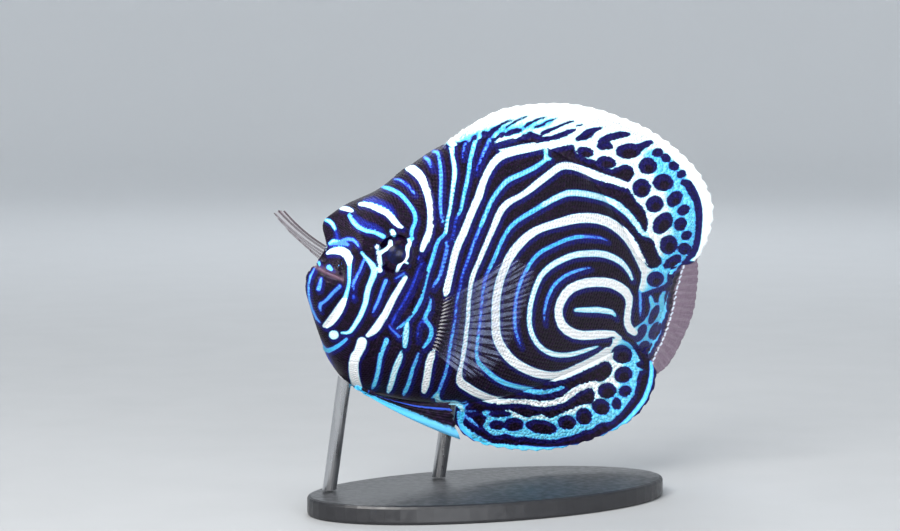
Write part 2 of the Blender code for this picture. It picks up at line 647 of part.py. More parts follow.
def main():
    clear_scene()
    parts = collection("emperor_angelfish")
    cutters = collection("cutters")
    paints = {name: material(name) for name in COLOURS}
    pose = bpy.data.objects.new("fish_pose", None)
    parts.objects.link(pose)
    pose.location = (POSE_X * MM, POSE_Y * MM, POSE_Z * MM)
    pose.rotation_euler = (math.radians(BACK_LEAN), math.radians(NOSE_UP), 0)
    bpy.context.view_layer.update()
    build_head(parts, cutters, paints, pose)
    build_body(parts, paints, pose)
    build_fins(parts, paints, pose)
    build_stand(parts, cutters, paints, pose)
    for cutter in cutters.objects:
        cutter.hide_render = True
        cutter.display_type = "WIRE"


main()
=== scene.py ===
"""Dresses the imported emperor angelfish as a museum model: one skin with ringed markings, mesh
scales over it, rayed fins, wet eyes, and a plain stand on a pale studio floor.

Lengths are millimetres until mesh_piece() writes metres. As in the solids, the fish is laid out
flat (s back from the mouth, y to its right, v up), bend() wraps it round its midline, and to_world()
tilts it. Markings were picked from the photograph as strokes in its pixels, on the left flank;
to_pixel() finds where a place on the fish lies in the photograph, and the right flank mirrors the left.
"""
import math

import bmesh
import bpy
import numpy as np
from mathutils import Euler, Matrix, Vector


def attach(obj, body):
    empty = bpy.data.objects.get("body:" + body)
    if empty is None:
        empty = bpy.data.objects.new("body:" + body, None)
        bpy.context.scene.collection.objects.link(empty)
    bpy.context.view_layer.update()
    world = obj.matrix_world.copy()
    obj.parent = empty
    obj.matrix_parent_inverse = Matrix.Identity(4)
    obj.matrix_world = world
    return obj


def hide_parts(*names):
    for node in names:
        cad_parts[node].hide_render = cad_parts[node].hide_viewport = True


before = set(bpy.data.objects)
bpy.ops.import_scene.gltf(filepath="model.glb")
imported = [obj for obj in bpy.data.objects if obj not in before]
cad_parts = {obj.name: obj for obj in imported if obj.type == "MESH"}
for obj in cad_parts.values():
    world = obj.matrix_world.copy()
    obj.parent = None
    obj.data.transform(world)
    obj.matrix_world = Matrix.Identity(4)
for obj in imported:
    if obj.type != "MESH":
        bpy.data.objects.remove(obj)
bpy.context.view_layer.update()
rng = np.random.default_rng(7)

MM = 0.001
PHOTO_W, PHOTO_H = 900, 531
GAP, LENGTH = 0.3, 70.0
COAT = 0.14                  # depth of the coat of scales over the skin

# Pose and camera
NOSE_UP, BACK_LEAN = 10.0, 17.0
POSE = np.array([-1.0, 0.0, 34.5])
POSE_PX = (483.0, 289.0)     # where the pose's origin lies in the photograph
CAM_AZIMUTH, CAM_ELEVATION, CAM_DISTANCE, CAM_FOCAL = -28.0, 5.0, 500.0, 3150.0

# The body's shape, as in the solids
HEADING = ((-0.1, 16.0), (0.26, 16.0), (0.42, 8.0), (0.57, 2.0),
           (0.80, 3.0), (1.00, 26.0), (1.20, 36.0), (1.50, 36.0))
# From the lips back: s and v of the back's ridge, s and v of the belly's, half width, how full the
# section is, and how much wider it is above
STATIONS = (
    (2.50, 3.40, 0.20, -0.80, 1.6, 2.2, -0.25),
    (3.20, 4.60, 0.70, -2.60, 2.1, 2.2, -0.15),
    (3.40, 6.40, 2.20, -4.90, 2.8, 2.2, 0.10),
    (3.20, 9.60, 4.60, -8.40, 3.4, 2.7, 0.50),
    (5.00, 11.90, 6.90, -11.10, 4.4, 2.6, 0.40),
    (10.40, 15.20, 9.60, -14.10, 5.6, 2.2, 0.10),
    (15.10, 19.40, 14.00, -17.20, 6.3, 2.1, 0.00),
    (20.50, 23.20, 20.50, -18.90, 6.9, 2.0, 0.00),
    (28.00, 25.30, 28.00, -19.80, 7.1, 2.0, 0.00),
    (37.00, 25.20, 37.00, -19.60, 6.5, 2.0, 0.00),
    (46.50, 21.90, 46.50, -17.00, 5.2, 2.0, 0.00),
    (55.00, 15.60, 55.00, -12.60, 3.7, 2.0, 0.00),
    (61.50, 9.60, 61.50, -8.90, 2.6, 2.0, 0.00),
    (66.00, 7.30, 66.00, -7.60, 1.9, 2.0, 0.00),
    (70.00, 7.50, 70.00, -8.50, 1.3, 2.0, 0.00),
    (72.50, 8.20, 72.60, -9.70, 0.9, 2.0, 0.00),
)
LIP_DEPTH = 0.75
CHEEK_HOLLOW, HOLLOW_RING, HOLLOW_V, HOLLOW_LONG, HOLLOW_HIGH = 1.9, 3.9, 3.8, 0.8, 2.2
SWELL, SWELL_RING, SWELL_V, SWELL_LONG, SWELL_HIGH = 0.9, 3.9, 7.5, 1.0, 1.8     # over each nostril
GILL_SIDE, GILL_TOP, GILL_BOTTOM = 7.9, 6.9, 5.4
EYE_S, EYE_V, EYE_Y = 11.25, 6.45, 4.6
EYE_R, EYE_FLAT = 2.8, 0.85
MOUTH_FRONT_V, MOUTH_CORNER = 2.0, (3.5, 1.25)
LIP_RISE, LIP_OFF, LIP_HALF, LIP_PAST, LIP_FADE = 0.20, 0.55, 0.45, 0.6, 0.9
JAW_HEEL, JAW_CHIN = (5.0, -2.0), (4.6, -7.5)
SPINE_ROOT, SPINE_TIP = (12.6, -4.5), (16.0, -6.6)
NOSTRILS = ((5.4, 7.4), (6.6, 7.9))

# Fins, as in the solids, but for the dorsal fin's rear corner, the anal fin's two ends, the notches
# between the spines and the web of the pelvic fins
DORSAL_EDGE = ((20.8, 24.6), (24.5, 27.6), (30.0, 30.3), (41.0, 32.2), (52.0, 31.3), (60.0, 29.0),
               (67.7, 25.0), (72.8, 20.0), (75.0, 14.8), (75.5, 10.6), (74.6, 8.3), (70.0, 7.0))
DORSAL_ROOT, DORSAL_SPINES, DORSAL_RAYS = (19.6, 64.0), 13, 20
ANAL_EDGE = ((35.9, -21.5), (38.2, -23.8), (41.0, -25.6), (45.5, -26.6), (54.0, -26.6), (61.0, -25.0),
             (67.3, -22.1), (71.9, -18.8), (74.3, -15.3), (74.6, -11.2), (71.0, -7.9))
ANAL_ROOT, ANAL_SPINES, ANAL_RAYS = (34.8, 63.5), 3, 19
TAIL_EDGE = ((80.2, 8.0), (82.8, 4.8), (84.8, 1.3), (86.3, -2.0), (86.4, -4.8), (85.7, -7.2), (84.7, -9.7),
             (82.8, -12.0), (79.6, -13.2))
TAIL_RAYS, TAIL_INSET = 15, 0.03
RAY_CROWD, RAY_BOW = 0.92, 0.06
SPINE_NOTCH, WEB_NOTCH = 0.22, 0.3
PECTORAL_S, PECTORAL_TOP, PECTORAL_BOTTOM, PECTORAL_RAYS, PECTORAL_SLANT = 21.7, 0.2, -8.7, 16, 1.8
LEFT_PECTORAL = ((29.4, 10.8, 9.3), (31.7, 11.6, 9.2), (34.9, 11.8, 7.9), (35.6, 11.7, 5.9),
                 (35.7, 11.6, 2.6), (35.7, 11.4, -1.4), (35.1, 11.2, -5.4), (33.9, 11.2, -8.6),
                 (31.5, 10.9, -10.6), (28.0, 10.4, -11.4))
RIGHT_PECTORAL = ((6.3, 17.0, 4.6), (7.1, 19.0, 3.9), (8.1, 21.0, 2.7), (10.4, 22.0, 1.2), (12.6, 21.5, -0.4),
                  (14.8, 21.0, -1.7), (16.5, 19.5, -2.9), (18.2, 18.0, -3.9))
PELVIC_S, PELVIC_Y, PELVIC_RAYS = (14.6, 18.6), 1.1, 6
PELVIC_TIP, PELVIC_SHORT = (37.6, 2.8, -24.8), (33.0, 3.4, -18.4)

# Detail finer than the solids'
SKIN_RINGS, SKIN_COLUMNS = 330, 360
HALF_TURN = SKIN_COLUMNS // 2            # columns from the back's ridge round one flank to the belly's
WIDEST_RING = 8.0                        # the ring on which the columns are even
SCALE_LONG, SCALE_WIDE = 0.62, 0.66      # spacing of scales on the flank
FACE_SCALE, FACE_END = 0.56, 15.0        # their size on the face as a share, and where the face ends
SCALE_FIRST, SCALE_LAST = 1.2, 0.4       # how far from the mouth and from the tail they start and end
SCALE_OVER, SCALE_ABREAST = 1.95, 1.2    # their length and width over their spacing
SCALE_STRAY = 0.05                       # how far they stray, as a share of their spacing
SIZE_VARIES, DEPTH_VARIES = (0.94, 1.06), (0.85, 1.1)
SCALE_LIFT = 0.01                        # how far their roots stand off the skin
BARE_EYE, BARE_MOUTH, BARE_NOSTRIL, BARE_SPINE = 0.25, 1.1, 0.62, 0.4     # no scales this near
# The same for the scales on the dorsal and anal fins, and how near a place of the fin's grid has to be
FIN_SCALE, FIN_COAT, FIN_SCALE_ROW = 0.56, 0.09, 0.86
FIN_SCALE_OVER, FIN_SCALE_ABREAST, FIN_SCALE_STRAY = 2.0, 1.3, 0.03
FIN_SIZE_VARIES, FIN_SCALE_NEAR = (0.92, 1.08), 0.4
FIN_COVERED, SPINES_LESS = 0.84, 0.3     # share of a soft ray that scales cover, and how much less of a spine
UV_PATCH = 0.003                         # size of each scale's patch in the unwrap
FIN_ROWS = 44                            # rows along each ray
RAY_STEPS, FIN_STEPS, PECTORAL_STEPS = 8, 12, 24     # columns from ray to ray
SPLIT_APART, SPLIT_FROM = 0.23, (0.35, 0.95)         # how far apart rays split, and where along them
ROOT_SINK = (1.3, 0.85, 0.4)             # depths of the rows of a dorsal or anal root in the body
TAIL_SUNK = (-0.22, -0.12, -0.04)        # the same for the tail, as shares of its length
PECTORAL_SINK, PELVIC_SINK = (0.9, 0.4), (0.9, 0.36)
# The ragged edges: depth, and how often it comes and goes
FIN_RAGGED, TAIL_RAGGED, PECTORAL_RAGGED = (0.12, 173.0), (0.10, 410.0), (0.08, 370.0)
# Widths of the rays' ridges over their spacing
MEDIAN_RIDGE, TAIL_RIDGE, PELVIC_RIDGE, FINE_RIDGE, BUNDLE_RIDGE = 0.20, 0.17, 0.15, 0.13, 0.20
PECTORAL_RIM = 0.05                      # what the first and last pectoral rays are thicker by
PELVIC_NOTCH, PELVIC_SAG, PELVIC_CROWD = 0.5, 0.75, 0.5
EYE_STEPS, EYE_BACK = 72, 9              # steps from pupil to back, and what marks the back half
PECTORAL_BUNDLES = 8         # bundles that the folded right pectoral fin's rays lie in
PUPIL_R = 1.50               # radius of the dark pupil
EYE_LEAD = 0.90              # how far the eyes are turned from straight out towards the camera
SOCKET_R, SOCKET_FLOOR = 2.90, 0.10
SOCKET_FRONT, SOCKET_WALL = (-1.2, -0.4), (0.12, -0.16)      # where it sets in: height, and off its rim
SOCKET_RIM, SOCKET_RIM_OFF, SOCKET_RIM_HALF = 0.14, 0.28, 0.26
LIP_COLOUR = (0.20, 0.12, 0.17)

# Half thicknesses of the fins: the web, how it thins, what a ray adds, and the root with its reach
MEDIAN_THICK = (0.10, 0.45, 0.13, 0.50, 0.05)
TAIL_THICK = (0.09, 0.40, 0.12, 0.45, 0.10)
PECTORAL_THICK = (0.05, 0.0, 0.10, 0.20, 0.03)
PELVIC_THICK = (0.07, 0.0, 0.14, 0.35, 0.05)
RAY_THINS = 0.6

# Relief of the skin: depths and heights, with half widths
SKIN_UNDER, COAT_FROM = 0.02, (0.5, 5.0)        # how deep the skin lies, and where the coat sets in
GROOVE, GROOVE_MORE, GROOVE_HALF = 0.15, 0.20, 0.15      # the mouth, deeper behind the lips
SEAM, SEAM_HALF = 0.09, 0.20                    # the jaw's outline
NOSTRIL, NOSTRIL_HALF, NOSTRIL_RIM, RIM_OFF, RIM_HALF = 0.40, 0.26, 0.10, 0.42, 0.13
COVER, COVER_FADE, COVER_SLIT, SLIT_HALF = 0.20, 1.1, 0.12, 0.30      # edge of the gill cover
CHEEK, CHEEK_RING, CHEEK_FADE, CHEEK_HALF = 0.13, 6.45, 0.8, 0.15     # edge of the cheek
COVER_STEP, CHEEK_STEP = 5.0, 4.0               # millimetres from ring to ring there
SPINE_HIGH, SPINE_HALF, SPINE_TAPER = 0.42, 0.50, 0.34

# The floor in metres: its flat radius, the bend round it, and the wall's height
FLOOR_R, FLOOR_BEND, FLOOR_WALL, FLOOR_SIDES = 0.80, 0.70, 1.8, 96

# Markings, in pixels of the photograph. A line has its tone, then points of x, y and half width. Tone 1
# is white, 0.6 pale cyan, 0.4 light blue and 0.2 deep blue. LIGHT has the outlines of the light nets.
# In them lie dark strokes (DARK) and dark cells (CELLS: x, y, two radii and a turn in degrees).
PIXEL_SHIFT = 0.7            # from the picked places to the middle of each mark
LINES = {
    "crown_dot": (1, ((340, 207.2, 1.8), (343.5, 207.3, 2.5), (347.5, 208.2, 2.6), (351, 209.6, 1.9))),
    "snout_stroke": (0.74, ((325, 219.2, 1.8), (328.5, 220.3, 2.2), (331.5, 223.2, 2.2),
        (333.8, 227.3, 1.8), (334.7, 230.3, 1))),
    "snout_dim": (0.1, ((334.8, 230.5, 1.6), (336, 235, 2.2), (336.5, 239, 2.2))),
    "lip_dot": (0.6, ((318, 261.3, 1.5), (318.6, 263.8, 1.5))),
    "jaw_ring": (0.44, ((313.5, 268, 1), (310, 275, 1.4), (308, 285, 1.4), (308.5, 297, 1.4),
        (311, 308, 1.5), (315.5, 318, 1.6), (319, 322, 1))),
    "brow_blue": (0.06, ((364, 199.3, 1.5), (372, 198.5, 3), (381, 202, 3), (389, 206.5, 2.5),
        (394, 213, 1.5))),
    "bridge_blue": (0.03, ((353, 215, 2), (358, 220, 3.5), (366, 224.5, 3.5), (374, 226.5, 3),
        (381, 230, 2))),
    "snout_blue": (0.34, ((329, 244, 1.6), (335, 242, 3), (342, 242, 3.2), (347, 244, 2))),
    "snout_pale": (0.74, ((329, 243, 1.8), (332, 240.6, 2.2), (336.5, 240, 2.3), (340, 241, 1.4))),
    "brow": (1, ((359, 203, 1.8), (364, 202.8, 2.6), (371, 204.3, 3.2), (379, 208, 3.5), (386, 211.5, 3.4),
        (390.5, 215.8, 3.3), (394.5, 221, 3.2), (398.5, 225, 2.4), (401.5, 226.5, 1.6))),
    "bridge": (0.66, ((348.5, 214.5, 2), (350.5, 217.5, 2.5), (352.8, 221.5, 2.5), (357.5, 226, 2.5),
        (366, 230, 2.3), (373, 231, 2.2), (379, 233.5, 2.5), (383, 236, 2.5))),
    "snout_arc": (0.38, ((342, 239.5, 2), (347, 238.3, 2.2), (352, 239, 2.2), (356, 242.5, 1.8),
        (358, 246, 1.2))),
    "snout_top": (1, ((326.5, 252.3, 1.6), (331, 250.5, 2.8), (336, 249.8, 3.7), (341, 250.3, 4.2),
        (345.3, 252.8, 4.4), (347.8, 257, 4.4), (348.5, 264, 2.2))),
    "snout_side": (0.72, ((348.8, 264, 2.2), (348.5, 272, 1.9), (348.5, 280, 1.7), (347.8, 286, 1.8),
        (346.3, 292, 2), (344.3, 298, 2.6))),
    "snout_low": (1, ((344.3, 298, 2.6), (341.3, 304, 3.8), (337.8, 310, 4.4), (333.8, 316, 4.5),
        (329.8, 321, 4.3), (326, 324.5, 3.5), (323.5, 325.5, 2))),
    "snout_spot": (0.6, ((328.2, 266.5, 2.6), (330.5, 268.5, 1.8))),
    "jaw_patch": (0.42, ((320.5, 278, 1.5), (319.5, 283, 2.2), (318, 288, 2.6))),
    "jaw_bar": (0.42, ((339, 286, 2.2), (335, 289.5, 2.2), (331, 293.5, 2.2), (327, 298, 2),
        (323, 301.5, 1.8), (320, 303, 2.2), (319, 306, 2), (320, 310, 1.2))),
    "second": (0.8, ((361, 252, 1.5), (364, 256, 1.8), (368, 260, 2.3), (372, 265, 3.2), (374, 269.5, 3.3),
        (373, 275, 3.2), (370.5, 281, 3), (368, 287, 3), (366.3, 294, 3), (365, 302, 2.8),
        (362.5, 309, 2.7), (360, 315, 2.6), (356.5, 321, 2.5), (353, 326.5, 2.2), (349.5, 331, 2.2),
        (346, 332.5, 1.6), (341, 332.5, 1.3))),
    "second_branch": (0.38, ((363.5, 259, 1.6), (361.5, 264, 1.7), (359.5, 269, 1.7), (357, 274, 1.8),
        (354.5, 279, 1.9), (353, 283, 2), (353, 287, 1.4), (353.5, 290, 0.9))),
    "second_dot": (0.25, ((353, 295.5, 2), (353, 297.5, 2))),
    "cheek_bar": (0.42, ((385.5, 280, 2.2), (383, 286, 2), (381, 291, 1.9), (379, 297, 1.9),
        (377, 302, 1.9), (374.5, 307, 1.8), (372.5, 312, 1.2))),
    "cheek": (1, ((405, 277, 2.2), (402, 282, 2.6), (398.5, 287.5, 3.2), (394.5, 294, 3.4), (391, 301, 3.5),
        (387.5, 308, 3.6), (384.5, 314, 3.7), (380.5, 320, 3.9), (376.5, 326, 3.9), (371.5, 331.5, 3.3),
        (367, 335, 2))),
    "throat": (1, ((361.3, 341.5, 5), (360, 346, 5), (357.5, 351.5, 4.4), (354.5, 356, 4.8), (353, 362, 5),
        (352.8, 368, 5), (353.3, 375, 5), (355, 382, 4.8), (357.5, 388, 4.3))),
    "chin_dot": (0.9, ((332.5, 334.5, 4.5), (333.5, 334.5, 4.5))),
    "chin": (0.55, ((346, 338.5, 1.6), (342, 342, 1.9), (338, 345, 2.1), (333, 348, 2.2),
        (327.5, 350.3, 2.6), (324, 349.5, 2.2), (320.8, 345, 1.7), (318.8, 339.5, 1.1))),
    "chin_keel": (0.2, ((326, 354, 1.5), (329, 360, 1.2), (332, 366, 0.8))),
    "cover_dim": (0.2, ((421, 262, 1.6), (418, 269, 1.7), (415, 277, 1.8), (411.5, 285, 1.8),
        (408, 293, 1.9), (404, 300, 1.8), (400.5, 306, 1.6), (397, 311, 1.5), (395, 315.5, 2),
        (393, 319, 2.2), (391.5, 323, 1.5))),
    "spine": (0.3, ((388.5, 325.5, 1.2), (391, 329, 1.5), (395, 332.5, 1.8), (398, 336, 2.2))),
    "cover": (0.6, ((445, 232, 1.8), (442, 236, 1.7), (438, 239.5, 1.8), (435.5, 246, 1.9),
        (433.5, 253, 1.9), (431.5, 260, 1.9), (429, 267, 1.9), (426.5, 275, 1.9), (424.5, 283, 2),
        (422.5, 291, 2), (421, 298, 1.9), (418.5, 304, 1.8), (415, 310, 1.8), (411, 315, 1.8),
        (407, 319.5, 1.9), (403, 323, 1.5), (399, 326, 1.2), (396, 328, 0.8))),
    "cover_low": (0.75, ((406.5, 320, 1.8), (406.3, 326, 2.6), (405.5, 333, 3), (404.8, 340, 3),
        (404.3, 346, 2.2))),
    "chest_1": (0.85, ((401, 351, 1.3), (399.8, 356, 2.6), (397.5, 362, 3.1), (395, 368, 3),
        (392.8, 375, 3), (391, 382, 2.9), (389, 388, 2.7), (387.5, 392, 1.6))),
    "chest_0": (0.62, ((385.8, 339, 2.3), (384, 345, 2.4), (381.3, 351, 2.4), (379.5, 358, 2.4),
        (378.5, 365, 2.3), (377.3, 372, 2.2), (375.5, 379, 2.2), (373.3, 385, 2.2), (371.5, 388.5, 1.2))),
    "chest_2": (0.62, ((418, 353, 1.3), (416, 359, 1.7), (413, 366, 1.8), (411, 373, 1.9), (409, 380, 2),
        (407, 386, 2.1), (404.5, 391, 2.1), (403, 394.5, 1.5))),
    "gill": (0.45, ((445.5, 241, 1.6), (446.8, 245, 1.9), (445.5, 252, 1.9), (443.5, 260, 1.9),
        (441.5, 268, 1.9), (439.8, 274, 1.9), (437.5, 279, 1.9), (434.5, 283, 1.8), (432.5, 287, 1.4))),
    "gill_low": (0.58, ((429.5, 296, 1), (430, 302, 1.6), (428.8, 308, 2.2), (426, 313, 2.1),
        (424.3, 318, 2.2), (427.5, 322.5, 2.1), (430.5, 327, 2.2), (431, 333, 2.3), (429, 339, 2.2),
        (425.5, 344, 1.9), (422.5, 347.5, 1.2))),
    "gill_branch": (0.28, ((423, 319, 1.4), (420, 322.5, 1.6), (418, 328, 1.5), (417, 334, 1.2),
        (417, 340, 0.7))),
    "nape_0": (0.6, ((381, 185.5, 1.4), (386, 186.5, 2), (392, 188.7, 2.1), (398, 192, 2.1),
        (403, 196.5, 2.1), (407.5, 202, 2.1), (411.5, 207.5, 2.1), (414.3, 213, 2.1), (415, 219, 2),
        (413.5, 224.5, 2), (411.3, 229.5, 2), (411, 234.5, 1.9), (412.3, 239, 1.4))),
    "nape_dash": (0.4, ((393, 178, 1), (398, 178.5, 1.5), (403, 181, 1.6), (407, 184.5, 1.6),
        (410, 188, 1.3), (412, 190.5, 1.8), (414, 193, 1.2))),
    "nape_1": (1, ((407, 167, 3), (412, 168.5, 4.6), (417.5, 173, 4.6), (421.5, 178.5, 4), (424, 185, 3.7),
        (426.5, 192, 3.6), (428.5, 200, 3.6), (429.5, 208, 3.2), (429.7, 216, 2.9), (429.3, 224, 3),
        (428.3, 231, 3.1), (425.8, 238, 3.2), (423, 244, 3), (421.3, 249.5, 2.2))),
    "nape_dot": (0.35, ((418.5, 256.5, 1.4), (418, 259, 1.2))),
    "nape_2": (0.45, ((424, 156, 2), (427.5, 159, 2.2), (429.8, 164, 1.8), (431.5, 168, 1))),
    "nape_3": (0.5, ((432, 150, 1.6), (436.5, 151, 2), (438.5, 157, 1.9), (439.5, 164, 2), (440.3, 172, 2),
        (440.5, 180, 2), (440.3, 188, 2), (440, 196, 2), (439.8, 203, 1.9), (440.3, 210, 1.8),
        (441, 216, 1.7), (441.5, 222, 0.9))),
    "nape_4": (0.85, ((450.5, 143, 3.6), (451.3, 149, 2.5), (452, 156, 2.1), (453.5, 163, 2.3),
        (454.3, 170, 2.5), (453.8, 177, 2.4), (452.8, 184, 2.2), (452, 191, 2.1), (451, 198, 2),
        (450.2, 205, 1.9), (448.8, 212, 1.8), (447, 219, 1.7), (446, 226, 1.8), (445.3, 232, 1.8))),
    "back_dash": (0.42, ((467, 136, 1.8), (465, 141, 1.6), (463.5, 147, 1.5), (462.5, 152, 1.3),
        (462, 157, 0.8))),
    "back_1": (0.68, ((478, 130, 2.4), (476, 136, 2.2), (474, 142, 2.2), (472.5, 148, 2.2), (471, 154, 2.1),
        (469.5, 160, 2), (468.8, 167, 2.1), (467.8, 174, 2), (466.5, 181, 2), (464.8, 188, 2),
        (463.3, 195, 1.9), (462, 202, 1.8), (460.5, 209, 1.6), (458, 214, 1.5))),
    "back_1_low": (0.32, ((458, 214, 1.5), (455.5, 218, 1.5), (454.5, 224, 1.6), (453.5, 230, 1.6),
        (452.3, 235, 1.6), (450.5, 241, 1.2))),
    "back_2": (0.42, ((490, 135, 2), (488, 141, 2), (485.5, 147, 2), (483, 152, 1.9), (481, 157, 1.6),
        (478.5, 163, 1.4), (476.5, 168, 1), (475.5, 172, 0.6))),
    "ring_1": (1, ((572, 141, 2.5), (562, 141.5, 2.8), (552, 142.5, 3.6), (542, 144, 4), (532, 146.5, 4.2),
        (522, 148.5, 4.2), (512, 151, 4), (504, 153.5, 4), (498, 157, 3.9), (493, 162, 3.8),
        (489, 168, 3.5), (485.5, 175, 3.4), (482.5, 182, 3.5), (480.3, 189, 3.8), (478.3, 196, 3.9),
        (475, 203, 3.8), (472, 210, 3.6), (468.7, 218, 3.6), (465.7, 226, 3.7), (462.3, 234, 3.7),
        (458.5, 242, 3.7), (455.5, 250, 3.7), (453.3, 258, 3.6), (451.5, 266, 3.4), (449.7, 274, 3.3),
        (447.7, 282, 3.5), (446, 290, 3.6), (445, 294.5, 2))),
    "ring_1_low": (1, ((433, 350.5, 1.8), (431, 355, 3.6), (428.8, 362, 3.8), (427.5, 370, 3.8),
        (426.3, 378, 3.8), (424.8, 385, 3.8), (423.3, 391, 2.6))),
    "link": (0.75, ((545.5, 149, 2.2), (545.5, 154, 2), (545.5, 158, 2.4), (550, 158, 1.6))),
    "ring_2": (0.66, ((545, 159, 2.2), (540, 163, 2.2), (533, 167.5, 2.4), (525, 171.5, 2.4),
        (517, 175, 2.5), (510, 178, 2.6), (505, 181.5, 2.5), (501, 186, 2.3), (497, 191, 2.2),
        (493.5, 196, 2.2), (490, 202, 2.2), (487.5, 208, 2.1), (485, 214, 2.1), (482.5, 220, 2.1),
        (480, 226, 2))),
    "ring_2_mid": (0.4, ((480, 226, 2), (477.5, 232, 1.9), (475, 238, 1.9), (472.5, 245, 1.9),
        (470, 252, 1.8), (467.5, 259, 1.8), (465, 266, 1.7), (462.5, 273, 1.6), (461, 279, 1.5),
        (460, 285, 1.6), (458, 292, 1.6), (456.5, 300, 1.6), (455.5, 308, 1.6), (455, 316, 1.6),
        (453.8, 324, 1.6))),
    "ring_2_low": (0.5, ((453.8, 324, 1.6), (452.5, 331, 1.7), (451, 339, 1.8), (449.5, 347, 1.8),
        (448.5, 354, 1.8), (447.5, 361, 1.8), (446.3, 368, 1.8), (444.3, 375, 1.8), (442, 381, 1.8),
        (440, 386, 1.8), (438.3, 391, 1.8))),
    "ring_3": (1, ((626, 184.5, 3), (624, 183.8, 3.2), (614, 180.2, 3.4), (605, 177.8, 3.6),
        (596, 174.5, 3.7), (588, 171, 3.7), (580, 167.8, 3.7), (572, 165.3, 3.7), (565, 164.6, 3.7),
        (559, 166, 3.7), (553, 170.3, 3.6), (547, 175, 3.6), (540, 180.3, 3.5), (533, 186, 3.4),
        (526, 191.5, 3), (519, 196, 2.8), (512, 199.3, 3), (506, 203.3, 3.3), (501.5, 208.5, 3.4),
        (497.8, 215, 3.3), (495, 222, 3.2), (492, 229, 2.9), (489, 236, 2.7), (486, 243, 2.6),
        (483, 250, 2.5), (480, 257, 2.4), (477, 264, 2.3), (474, 271, 2.3), (471.5, 278, 2.4),
        (470, 286, 2.2), (469, 294, 2.1), (468.3, 302, 2), (467.8, 310, 2.1), (467.5, 318, 2.1),
        (466.5, 326, 2.1), (465.5, 334, 2.1), (464.8, 342, 2.2), (463.5, 350, 2.3), (462.3, 357, 2.1),
        (461, 364, 2), (459.5, 370, 2.3), (458.7, 376, 3), (459.5, 381, 4))),
    "ring_3_low": (1, ((459.5, 381, 4), (462, 384, 4.4), (467, 387, 4.3), (473, 391, 4.2), (480, 394.5, 4),
        (488, 397.5, 3.6), (496, 399.2, 2.8), (505, 399.5, 2.6), (515, 399.3, 2.5), (523, 399.6, 2.7),
        (531, 401.2, 2.9), (539, 402.6, 2.8), (546, 402.3, 2.9), (553, 400.8, 3), (560, 398.8, 3.2),
        (566, 395, 3.3), (572, 390.5, 3.3), (578, 386.6, 3), (586, 384, 2.8), (594, 382.5, 3.2))),
    "ring_4": (0.82, ((647, 234.5, 1.6), (641, 232, 2.4), (637.5, 228, 2.8), (634, 222, 3),
        (629.5, 216.5, 3.2), (624, 211, 3.3), (618, 205.5, 3.3), (611, 200.5, 3.2), (603, 197.3, 3.2),
        (594, 195, 3.2), (585, 193.2, 3.2), (575, 192.2, 3.2), (567, 192.5, 3.2), (560, 195, 3),
        (551, 199.5, 2.8), (541.5, 205, 2.6))),
    "ring_4_mid": (0.6, ((541.5, 205, 2.6), (532, 210.8, 2.4), (523, 216, 2.3), (515, 221.5, 2.2),
        (509, 227.5, 2.1), (505, 233.5, 2), (501.5, 240, 2), (498.5, 247, 2), (495.5, 254, 2),
        (492.5, 261, 1.9), (489, 268, 1.9))),
    "ring_4_in": (0.4, ((489, 268, 1.9), (486, 274, 1.9), (484.3, 280, 1.8), (483, 287, 1.8),
        (482, 295, 1.7), (481.3, 303, 1.6), (480.5, 311, 1.6), (479.8, 319, 1.6), (479, 327, 1.7),
        (477.8, 335, 1.7))),
    "ring_4_low": (0.6, ((477.8, 335, 1.7), (476.8, 343, 1.7), (476, 351, 1.8), (476.3, 357, 2),
        (478, 362, 2.3), (482, 366.5, 2.5), (487, 371, 2.6), (492, 375.5, 2.6), (498, 379.5, 2.6),
        (505, 383, 2.5), (513, 385.5, 2.4), (521, 387.3, 2.4), (529, 389, 2.5), (537, 390.3, 2.5),
        (545, 390, 2.4), (552, 388.3, 2.3), (558, 386.5, 2.3), (562, 385.5, 1.5))),
    "ring_5": (1, ((644.5, 270, 4), (640.5, 262, 3.7), (636.5, 254, 3.6), (632.5, 246, 3.8),
        (627.5, 238, 4.2), (621.5, 231, 4.6), (614, 224.8, 4.9), (606, 220.5, 5), (597, 218, 5),
        (588, 217.2, 5), (579, 217.5, 4.9), (570, 219, 4.8), (561, 221.5, 4.4), (552, 224, 3.9),
        (543, 226.8, 3.8), (534, 230.8, 4), (526, 236.5, 4.3), (519.5, 243, 4.4), (513.5, 250, 4.4),
        (509, 257, 4.4), (505.5, 264, 4.2), (502.5, 271.5, 4.1), (499.8, 279, 4.1), (497.8, 287, 4.2),
        (496.3, 295, 4.2), (495.5, 303, 4.2), (495.2, 311, 4.3), (495.2, 319, 4.3), (495.3, 327, 4.4),
        (496, 335, 4.6), (498.5, 342.5, 4.7), (502.5, 349.5, 4.8), (507.5, 356, 4.8), (513.5, 361.5, 4.7),
        (520.5, 366, 4.6), (528, 369.8, 4.5), (536, 372.8, 4.4), (544, 374.7, 4.1), (552, 375.3, 3.8),
        (560, 374.3, 3.5), (568, 371.5, 3.4), (576, 367.5, 3.4), (584, 363.8, 3.4), (592, 360, 3.6),
        (600, 355.5, 3.8), (607, 350.5, 4))),
    "ring_6_end": (0.36, ((607, 240, 0.9), (600, 237.3, 1.5), (592, 236.3, 1.9), (583, 236, 2))),
    "ring_6": (0.55, ((583, 236, 2), (575, 236.6, 2.1), (567, 238.7, 2.1), (559, 242, 2.1),
        (551, 245.7, 2.1), (544, 249.2, 2.1), (538, 253.2, 2.1), (533, 258.2, 2), (529, 264, 2),
        (525.5, 270.5, 2))),
    "ring_6_low": (0.42, ((525.5, 270.5, 2), (522, 277, 2), (519.3, 284, 2), (517.3, 291, 1.9),
